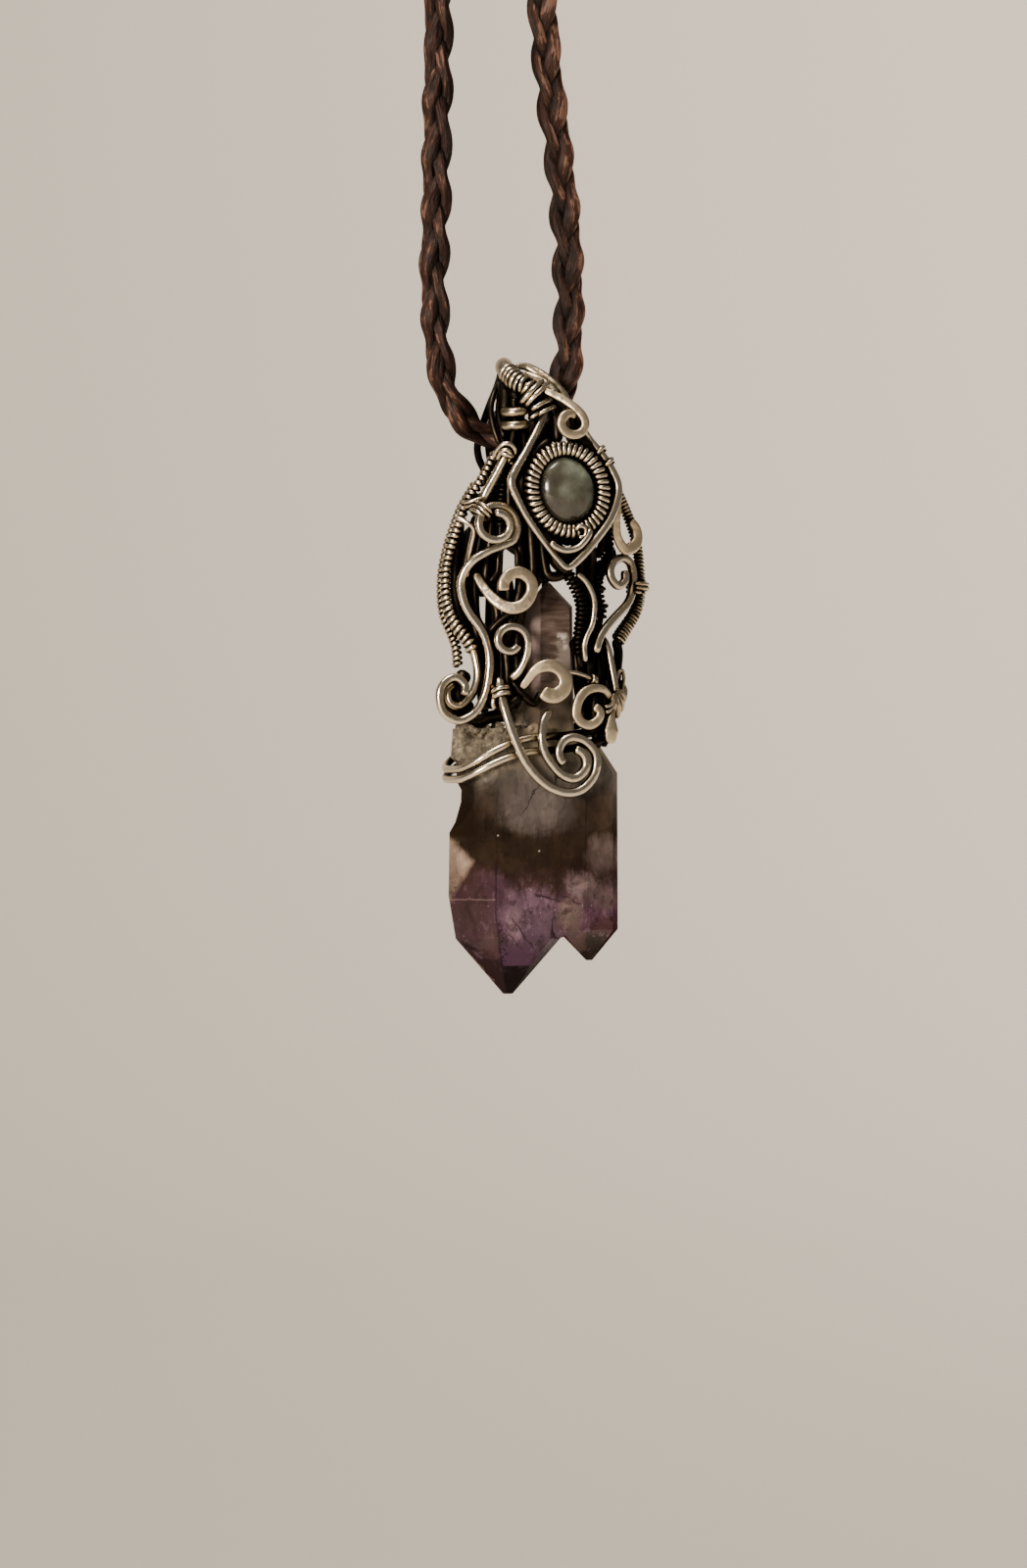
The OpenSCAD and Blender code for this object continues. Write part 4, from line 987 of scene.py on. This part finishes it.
# Clouds of colour inside the crystal: centre and half size in u and z, colour, amount
CLOUDS = (
    ((9.2, -52.8), (2.4, 2.2), "#5a4c49", 0.85),      # grey window in the twin
    ((8.0, -47.2), (2.8, 2.6), "#2a1f17", 0.85),      # smoke over it
    ((4.8, -50.6), (1.9, 4.4), "#2a1f17", 0.7),       # smoke along the cleft
    ((0.8, -47.0), (4.6, 3.2), "#534c4a", 0.8),       # grey under the spiral
    ((-5.2, -46.6), (1.7, 2.4), "#2b2119", 0.85),     # smoke left of it
    ((-5.6, -50.8), (3.6, 3.2), "#1b130d", 0.95),     # darker at the scoop
    ((-1.0, -52.8), (5.4, 2.2), "#291f17", 0.7),      # the dark belt
    ((6.2, -56.4), (1.9, 1.7), "#655456", 0.8),       # lilac grey above the cleft
    ((8.8, -57.6), (2.4, 1.9), "#584949", 0.8),       # the same on the twin
    ((-4.4, -56.4), (2.6, 1.5), "#432f3a", 0.85),     # violet at the left
    ((-0.2, -59.8), (3.6, 3.0), "#5b4654", 0.85),     # the lilac heart
    ((1.0, -62.6), (3.2, 2.4), "#483544", 0.85),      # purple under it
    ((-2.0, -61.2), (1.0, 2.4), "#78606a", 0.6),      # a pale streak by the edge
    ((-6.8, -60.2), (2.8, 2.8), "#2b1a1b", 0.85),     # brown left facet
    ((-4.6, -63.6), (1.5, 1.6), "#5c4547", 0.6),      # paler by the front edge
    ((3.2, -56.6), (1.3, 1.2), "#2c2019", 0.8),       # smoke beside the heart
    ((5.2, -60.4), (1.5, 2.0), "#5c4d47", 0.8),       # beige in the cleft
    ((9.2, -61.8), (2.4, 1.8), "#392624", 0.85),      # brown right facet
    ((7.8, -64.6), (3.0, 2.2), "#170b08", 1.0),       # the twin's dark tip
)

# Healed cracks, and last a painted highlight along the lower left edge: start, end, width, colour,
# amount
CRACKS_AND_EDGE_HIGHLIGHT = (
    ((-8.3, -63.4), (-6.6, -64.4), 0.22, "#0e0706", 0.9),
    ((-2.2, -60.4), (0.6, -64.2), 0.16, "#24141d", 0.8),
    ((-2.6, -62.2), (-0.8, -64.6), 0.12, "#24141d", 0.6),
    ((0.6, -57.6), (3.9, -58.4), 0.16, "#24161a", 0.8),
    ((3.9, -57.6), (6.4, -58.9), 0.12, "#24161a", 0.7),
    ((6.9, -62.0), (7.3, -65.6), 0.14, "#160b0a", 0.7),
    ((-7.6, -58.6), (-6.4, -62.6), 0.3, "#1f1112", 0.6),
    # painted highlight along the lower left edge
    ((-7.6, -64.7), (-4.3, -68.3), 0.12, "#786861", 0.5),
)


def cloud(tint, across, level, centre, radius, code, amount):
    """Lays a soft-edged cloud of colour into the stone."""
    x, y = (across - centre[0])/radius[0], (level - centre[1])/radius[1]
    return blend(tint, (fade(x*x + y*y, 1.7, 0.05)*amount, code))


def fine_line(tint, u, z, fine, start, end, width, code, amount):
    """Draws a fine wandering line in the stone from start to end."""
    long = math.dist(start, end)
    du, dz = (end[0] - start[0])/long, (end[1] - start[1])/long
    x, y = u - start[0], z - start[1]
    on, off = x*du + y*dz, y*du - x*dz + (fine - 0.5)*1.3
    mark = fade(on, -0.3, 0.4)*fade(on, long + 0.3, long - 0.4)
    return blend(tint, (mark*fade(abs(off), width, width*0.3)*amount, code))


def growth(tint, place):
    """Breaks the stone up into flat growth blocks, some lighter and some darker, and clouds it."""
    for size, depth in ((2.6, 0.5), (1.1, 0.35)):
        twisted = add(place.tree, "Mapping", Vector=place, Rotation=(0.1, 0.25, 0.15),
                      Scale=(1/size, 0.4/size, 0.6/size))
        blocks = add(place.tree, "TexVoronoi", {"distance": "CHEBYCHEV"}, "Color",
                     Vector=twisted, Scale=1.0, Detail=1.0)
        value = (add(place.tree, "SeparateXYZ", Vector=blocks) - 0.5)*depth + 1.0
        tint = add(place.tree, "HueSaturation", Value=value, Color=tint)
    cloudy = noise(place, 1.3, 6.0, 0.7, (1, 1, 1.5))*0.9 + 0.55
    return add(place.tree, "HueSaturation", Value=cloudy, Color=tint)


def upper_point(place, u, z, fine, left_facet):
    """The upper point: dark mauve, paler on its left facet, clear where light comes through."""
    bars = noise(place, 1.6, 4.0, 0.6, (2.6, 1, 0.35))
    clear = fade(fine*2.5 + z, -24.2, -26.4)*fade(bars*3.0 + u, 4.2, 5.4)
    # painted highlight: a small bright glint on the point
    painted_glint = fade(u, 3.2, 3.7)*fade(u, 4.9, 4.4)*fade(z, -28.0, -27.2)*fade(z, -25.4, -26.2)
    return blend(ramp(bars, (0.3, "#473932"), (0.5, "#5c4d46"), (0.7, "#74655e")),
                 (left_facet*0.6, "#a08d88"), (clear*0.5, "#a89c92"),
                 (painted_glint*fade(fine, 0.4, 0.55), "#ddd3ca"), (fade(u, 5.15, 5.4)*0.6, "#a39a8f"),
                 (fade(z, -31.0, -33.5)*0.85, "#453c30"))


def front_edge(tint, u, z, fine, dots):
    """The front edge of the main crystal, browner on its left and violet on its right."""
    offset = u + rescale(z, -60.0, -69.8, 4.05, 2.9)
    left = fade(offset, 0.05, -0.05)*fade(z, -53.0, -56.5)
    # with a pale step across the left facet
    step = fade(abs(z + (fine*0.5 + 57.95)), 0.12, 0.03)*left
    rim = fade(abs(offset), 0.16, 0.05)*fade(z, -52.5, -54.5)
    # right of the edge the violet ends low down at a sharp line, with dark pits beside the edge
    right_of = fade(offset, 0.05, 0.15)
    low = fade(z, -63.0, -64.2)*fade(z, -66.4, -66.2)*right_of*fade(u, 1.8, -0.6)
    pitted = right_of*fade(offset, 1.3, 0.5)*fade(z, -60.5, -61.5)*fade(dots, 0.55, 0.6)
    return blend(tint, (left*0.5, "#2e1a1c"), (step*0.3, "#8d7874"), (rim*0.6, "#1e1019"),
                 (low*0.9, "#4a3346"), (pitted*0.8, "#1b0e14"))


def amethyst_material():
    """Natural smoky amethyst, glassy over a clouded inside: pale and crusted at the top, smoky in
    the middle, violet with specks below and near black at the tips."""
    material, tree, shader = new_material("smoky_amethyst_crystal")
    place = in_mm(tree, True)
    u, z = (add(tree, "SeparateXYZ", out=axis, Vector=place) for axis in "XZ")
    fine = noise(place, 1.1, 5.0, 0.65)
    dots = noise(place, 0.42, 2.0, 0.6)
    # places inside wander by a millimetre or so, which breaks the edges of every zone
    level = (z + noise(place, 4, 3.0, 0.6, (1.5, 1, 0.6))*2.8
             + noise(place, 1.2, 5.0, 0.65, (0.55, 0.55, 2.2))*3.2 - 3.0)
    across = u + (noise(place, 2.6, 5.0, 0.65) - 0.5)*3.0
    # from the dark tips up through violet and smoke to the pale crust
    tint = ramp(rescale(level, -70.0, -38.0), (0.1, "#0f0709"), (0.17, "#22121a"),
                (0.25, "#41273a"), (0.34, "#4a323f"), (0.42, "#332321"), (0.52, "#20150e"),
                (0.62, "#2b2118"), (0.72, "#463d37"), (0.84, "#544e49"), (0.95, "#766a58"))
    for row in CLOUDS:
        tint = cloud(tint, across, level, *row)
    # a clear beige corner at the left edge, under one slanting line and over another
    corner = calc("MINIMUM", u*-1.06 - 60.26 - z, z - (u*1.76 - 42.3))
    corner = fade(fine*1.6 + corner, 0.7, 2.6)
    tint = growth(blend(tint, (corner, "#8f7b6d")), place)
    # veils and specks in the lower half
    lower = fade(level, -54.5, -57.5)*fade(z, -68.0, -65.0)
    veil, smoke = noise(place, 1.5, 6.0, 0.75, (1, 1, 1.8)), noise(place, 1.9, 6.0, 0.7)
    tint = blend(tint, (fade(veil, 0.54, 0.66)*lower*0.35, "#8f7487"),
                 (fade(smoke, 0.52, 0.64)*lower*0.65, "#1f1014"),
                 (fade(dots, 0.66, 0.72)*lower*0.7, "#1d0f12"),
                 (fade(dots, 0.31, 0.27)*lower*0.5, "#b9a3a8"))
    # the upper point, and a crack that runs down and to the left from under the spiral
    left_facet, inside = fade(u, 1.5, 1.2), fade(z, -37.5, -36.0)*fade(u, -1.0, 0.4)
    off = abs((z + 44.3)*-0.57 + u - 1.1 + (noise(place, 0.9, 3.0) - 0.5)*1.6)
    crack = fade(off, 0.13, 0.04)*fade(z, -48.2, -47.0)*fade(z, -43.6, -44.6)
    tint = blend(tint, (inside, upper_point(place, u, z, fine, left_facet)),
                 (crack*0.8, "#120b08"))
    # the crust of small pale points on the upper left
    crust = fade(u*-0.35 + z, -42.5, -40.5)*fade(fine*2.0 + u, 1.0, -1.5)
    grit = noise(place, 0.8, 5.0, 0.7)
    tint = blend(tint, (crust, ramp(grit, (0.34, "#4a4135"), (0.48, "#6f6657"), (0.6, "#8d826f"),
                                    (0.72, "#beb29e"))))
    # a painted highlight makes the twin's tip lighter on its left facet
    tint = cloud(front_edge(tint, u, z, fine, dots), across, level, (5.6, -63.4), (1.5, 1.5),
                 "#4c3936", 0.75)
    for row in CRACKS_AND_EDGE_HIGHLIGHT:
        tint = fine_line(tint, u, z, fine, *row)
    # two painted highlights: small bright glints on the stone
    for x, y in ((-3.8, -50.4), (1.2, -52.3)):
        side, up = u - x, z - y
        tint = blend(tint, (fade(side*side + up*up, 0.022, 0.002), "#a89c94"))
    scoop = fade(u, -5.6, -7.0)*fade(z, -50.9, -50.2)*fade(z, -42.4, -44.2)
    # painted shade: near black where the wires close in over the stone
    tint = blend(tint, (scoop*0.9, "#1f160f"), (fade(recess_of(tree), 0.45, 1.1), "#0b0705"))
    # the gloss fades where a face is seen edge on, so that the rims stay as dark as the stone
    open_face = fade(add(tree, "LayerWeight", out="Facing", Blend=0.5), 0.85, 0.35)
    dull = calc("MAXIMUM", calc("MAXIMUM", scoop, inside*left_facet), fade(z, -62.0, -65.0)*0.75)
    gloss = open_face*(1.0 - dull)
    steps = bump(noise(place, 2.2, 3.0, 0.55, (1.4, 1.4, 0.7)), 0.25, 0.12)
    feed(shader, Base_Color=tint, Roughness=rescale(crust, 0.0, 1.0, 0.12, 0.5), IOR=1.54,
         Specular_IOR_Level=gloss*0.28, Coat_Weight=gloss*0.06, Coat_Roughness=0.05,
         Transmission_Weight=corner*0.2,
         Normal=bump(crust*grit, 0.9, 0.7, bump(dots, 0.3, 0.06, steps)))
    return material


def cabochon_material():
    """A polished grey-green moonstone, cloudy inside under a glassy dome."""
    material, tree, shader = new_material("grey_moonstone")
    place = in_mm(tree, True)
    # paler towards the upper right, with a smoky patch at the lower left
    u, z = (add(tree, "SeparateXYZ", out=axis, Vector=place) for axis in "XZ")
    slope = noise(place, 3.0, 3.0) + u*0.045 + z*0.035 + 0.1
    feed(shader, Roughness=0.25, Coat_Weight=1.0, Coat_Roughness=0.04, Subsurface_Weight=0.2,
         Subsurface_Radius=(0.8*MM, 0.9*MM, 0.7*MM), Subsurface_Scale=1.0,
         Base_Color=ramp(slope, (0.28, "#24211a"), (0.48, "#413f34"), (0.64, "#5d6156"),
                         (0.82, "#848b7e")))
    return material


# The crystal, a copy of its solid with stone that fills the cleft between its two lower points
crystal = frame["nodes"]["crystal"].copy()
crystal.data = crystal.data.copy()
crystal.name = crystal.data.name = "amethyst_points"
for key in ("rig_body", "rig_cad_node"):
    if key in crystal:
        del crystal[key]
crystal.parent = None
bpy.context.scene.collection.objects.link(crystal)
edit(crystal, remove_doubles={"threshold": 5e-6}, dissolve_limited={"angle_limit": math.radians(1)})
levels = ((-43.5, 2.0, 2.6, -4.2), (-46, 1.2, 4.4, -5.0), (-59.2, 1.0, 4.5, -4.9),
          (-61.2, 1.0, 3.7, -4.4), (-62.9, 2.5, 0.7, -3.4))      # height, left side, width, front
filling = loft("filling", [
    [Vector((SIDE + left + x*wide, y, z - DROP))*MM
     for x, y in ((0, front), (1, front + 0.2), (0.9, -2.0), (0.1, -2.0))]
    for z, left, wide, front in levels])
modify(crystal, "BOOLEAN", operation="UNION", object=filling, solver="EXACT")
bpy.data.objects.remove(filling)
soften(crystal, 20)
amethyst = amethyst_material()
finish_piece(crystal, amethyst, nodes=["crystal"])

# A crust of small broken points along the top of the main crystal, in three rows
chance = random.Random(4)
in_row, points = 26, []
for i in range(3*in_row):
    u = -8.6 + 10.6*(i % in_row)/(in_row - 1) + chance.uniform(-0.3, 0.3)
    size = chance.uniform(0.4, 0.8)
    bpy.ops.mesh.primitive_ico_sphere_add(subdivisions=1, radius=size*MM, location=at(
        u, -37.7 + chance.uniform(-0.8, 0.6), 4.3 - 1.9*(i//in_row) + chance.uniform(-0.5, 0.5)),
        rotation=(chance.uniform(0, 3), chance.uniform(0, 3), 0),
        scale=(0.7, 0.8, chance.uniform(0.9, 1.4)))
    settle(bpy.context.object)
    points.append(bpy.context.object)
crust = join("crystal_crust", points)
modify(crust, "REMESH", mode="VOXEL", voxel_size=0.2*MM)
soften(crust, 22)
finish_piece(crust, amethyst)

# The moonstone: rings of its dome, each a share of its size and how far forward it lies
stone = loft("moonstone_dome", [
    [oval(share*3.28, share*3.98, 2*math.pi*i/48, d) for i in range(48)]
    for share, d in ((0.9, 5.9), (1, 6.3), (1.02, 6.9), (0.97, 7.4), (0.8, 7.9), (0.45, 8.3),
                     (0.12, 8.45))])
modify(stone, "SUBSURF", levels=1, render_levels=1)
soften(stone)
finish_piece(stone, cabochon_material(), nodes=["cabochon"])
paint(frame["nodes"]["bezel_back"], oxidised)


# Patina on the metal, and painted shade on the cord and the crystal: how closed in each point is

def age(pieces, reach, rays):
    """Writes the recess attribute on each piece: 0 in the open, 1 deep between others."""
    verts, tris = [], []
    for ob in pieces:
        base, co = len(verts), np.zeros(len(ob.data.vertices)*3, np.float32)
        ob.data.vertices.foreach_get("co", co)
        verts += co.reshape(-1, 3).tolist()
        tris += [[base + v for v in polygon.vertices] for polygon in ob.data.polygons]
    tree = BVHTree.FromPolygons(verts, tris)
    # directions spread evenly over the half of space above, each a golden angle on from the last
    fan = []
    for i in range(rays):
        z = 1 - (i + 0.5)/rays*0.92
        r, a = math.sqrt(1 - z*z), i*2.39996
        fan.append((r*math.cos(a), r*math.sin(a), z))
    total = sum(ray[2] for ray in fan)
    for ob in pieces:
        values = np.zeros(len(ob.data.vertices), np.float32)
        for i, vertex in enumerate(ob.data.vertices):
            n = vertex.normal
            side = n.orthogonal().normalized()
            other = n.cross(side)
            start = vertex.co + n*0.03*MM
            closed = 0.0
            for x, y, z in fan:
                hit = tree.ray_cast(start, side*x + other*y + n*z, reach)
                if hit[0] is not None:
                    closed += z*(1 - 0.6*hit[3]/reach)
            # rubbing reaches what faces outwards, and leaves the sides of the wires dark; on the
            # cord and the crystal the same value is painted shade on their inner sides
            out = Vector((start.x - SIDE*MM, 1.6*(start.y - 2*MM), 0)).normalized()
            values[i] = 0.7*closed/total + 0.42*min(1.0, max(0.0, 0.85 - n.dot(out)))
            if ob in bands:
                # the bands are darker towards the right, where they pass behind the spiral: partly
                # patina and partly painted shade
                values[i] += 0.4*min(1.0, max(0.0, (start.x/MM - SIDE + 1.5)/3))
        ob.data.attributes.new("recess", "FLOAT", "POINT").data.foreach_set("value", values)


age(wires + [cord, stone, crystal], 2.4*MM, 12)


# Studio

def studio():
    """A pale sweep behind and below the object, and soft lights."""
    mesh = bpy.data.meshes.new("floor")
    mesh.from_pydata([(x, y, z - 0.42) for y, z in ((-2, 0), (2, 0), (2, 3)) for x in (-2, 2)], [],
                     [(0, 1, 3, 2), (2, 3, 5, 4)])
    floor = put("floor", mesh)
    modify(floor, "BEVEL", width=0.9, segments=24, limit_method="ANGLE")
    soften(floor)
    material, tree, shader = new_material("pale_paper_sweep")
    feed(shader, Base_Color=colour("#cfc8bd"), Roughness=0.9)
    paint(floor, material)
    middle, backdrop = (0.004, 0, -0.25), (0.9, 1.8, -0.2)
    for name, place, aim, size, power, tint in (
            ("key", (-0.72, -0.78, -0.12), middle, 0.24, 13, "#fff1e0"),
            ("fill", (0.9, -0.7, -0.1), middle, 0.8, 1.6, "#fff4ea"),
            ("top", (-0.25, -0.25, 0.6), middle, 0.4, 7, "#fff6e8"),
            ("wall", (1.5, 0.5, 0.9), backdrop, 0.8, 52, "#fff6ec")):
        data = bpy.data.lights.new(name, "AREA")
        data.shape, data.size, data.energy = "SQUARE", size, power
        data.color = colour(tint)[:3]
        lamp = put(name, data)
        lamp.location = place
        lamp.rotation_euler = (Vector(aim) - lamp.location).to_track_quat("-Z", "Y").to_euler()
        lamp.visible_glossy = name in ("key", "top")
    world = bpy.data.worlds.new("studio")
    bpy.context.scene.world = world
    world.use_nodes = True
    feed(world.node_tree.nodes["Background"], Color=colour("#d8d2c8"), Strength=0.16)


studio()
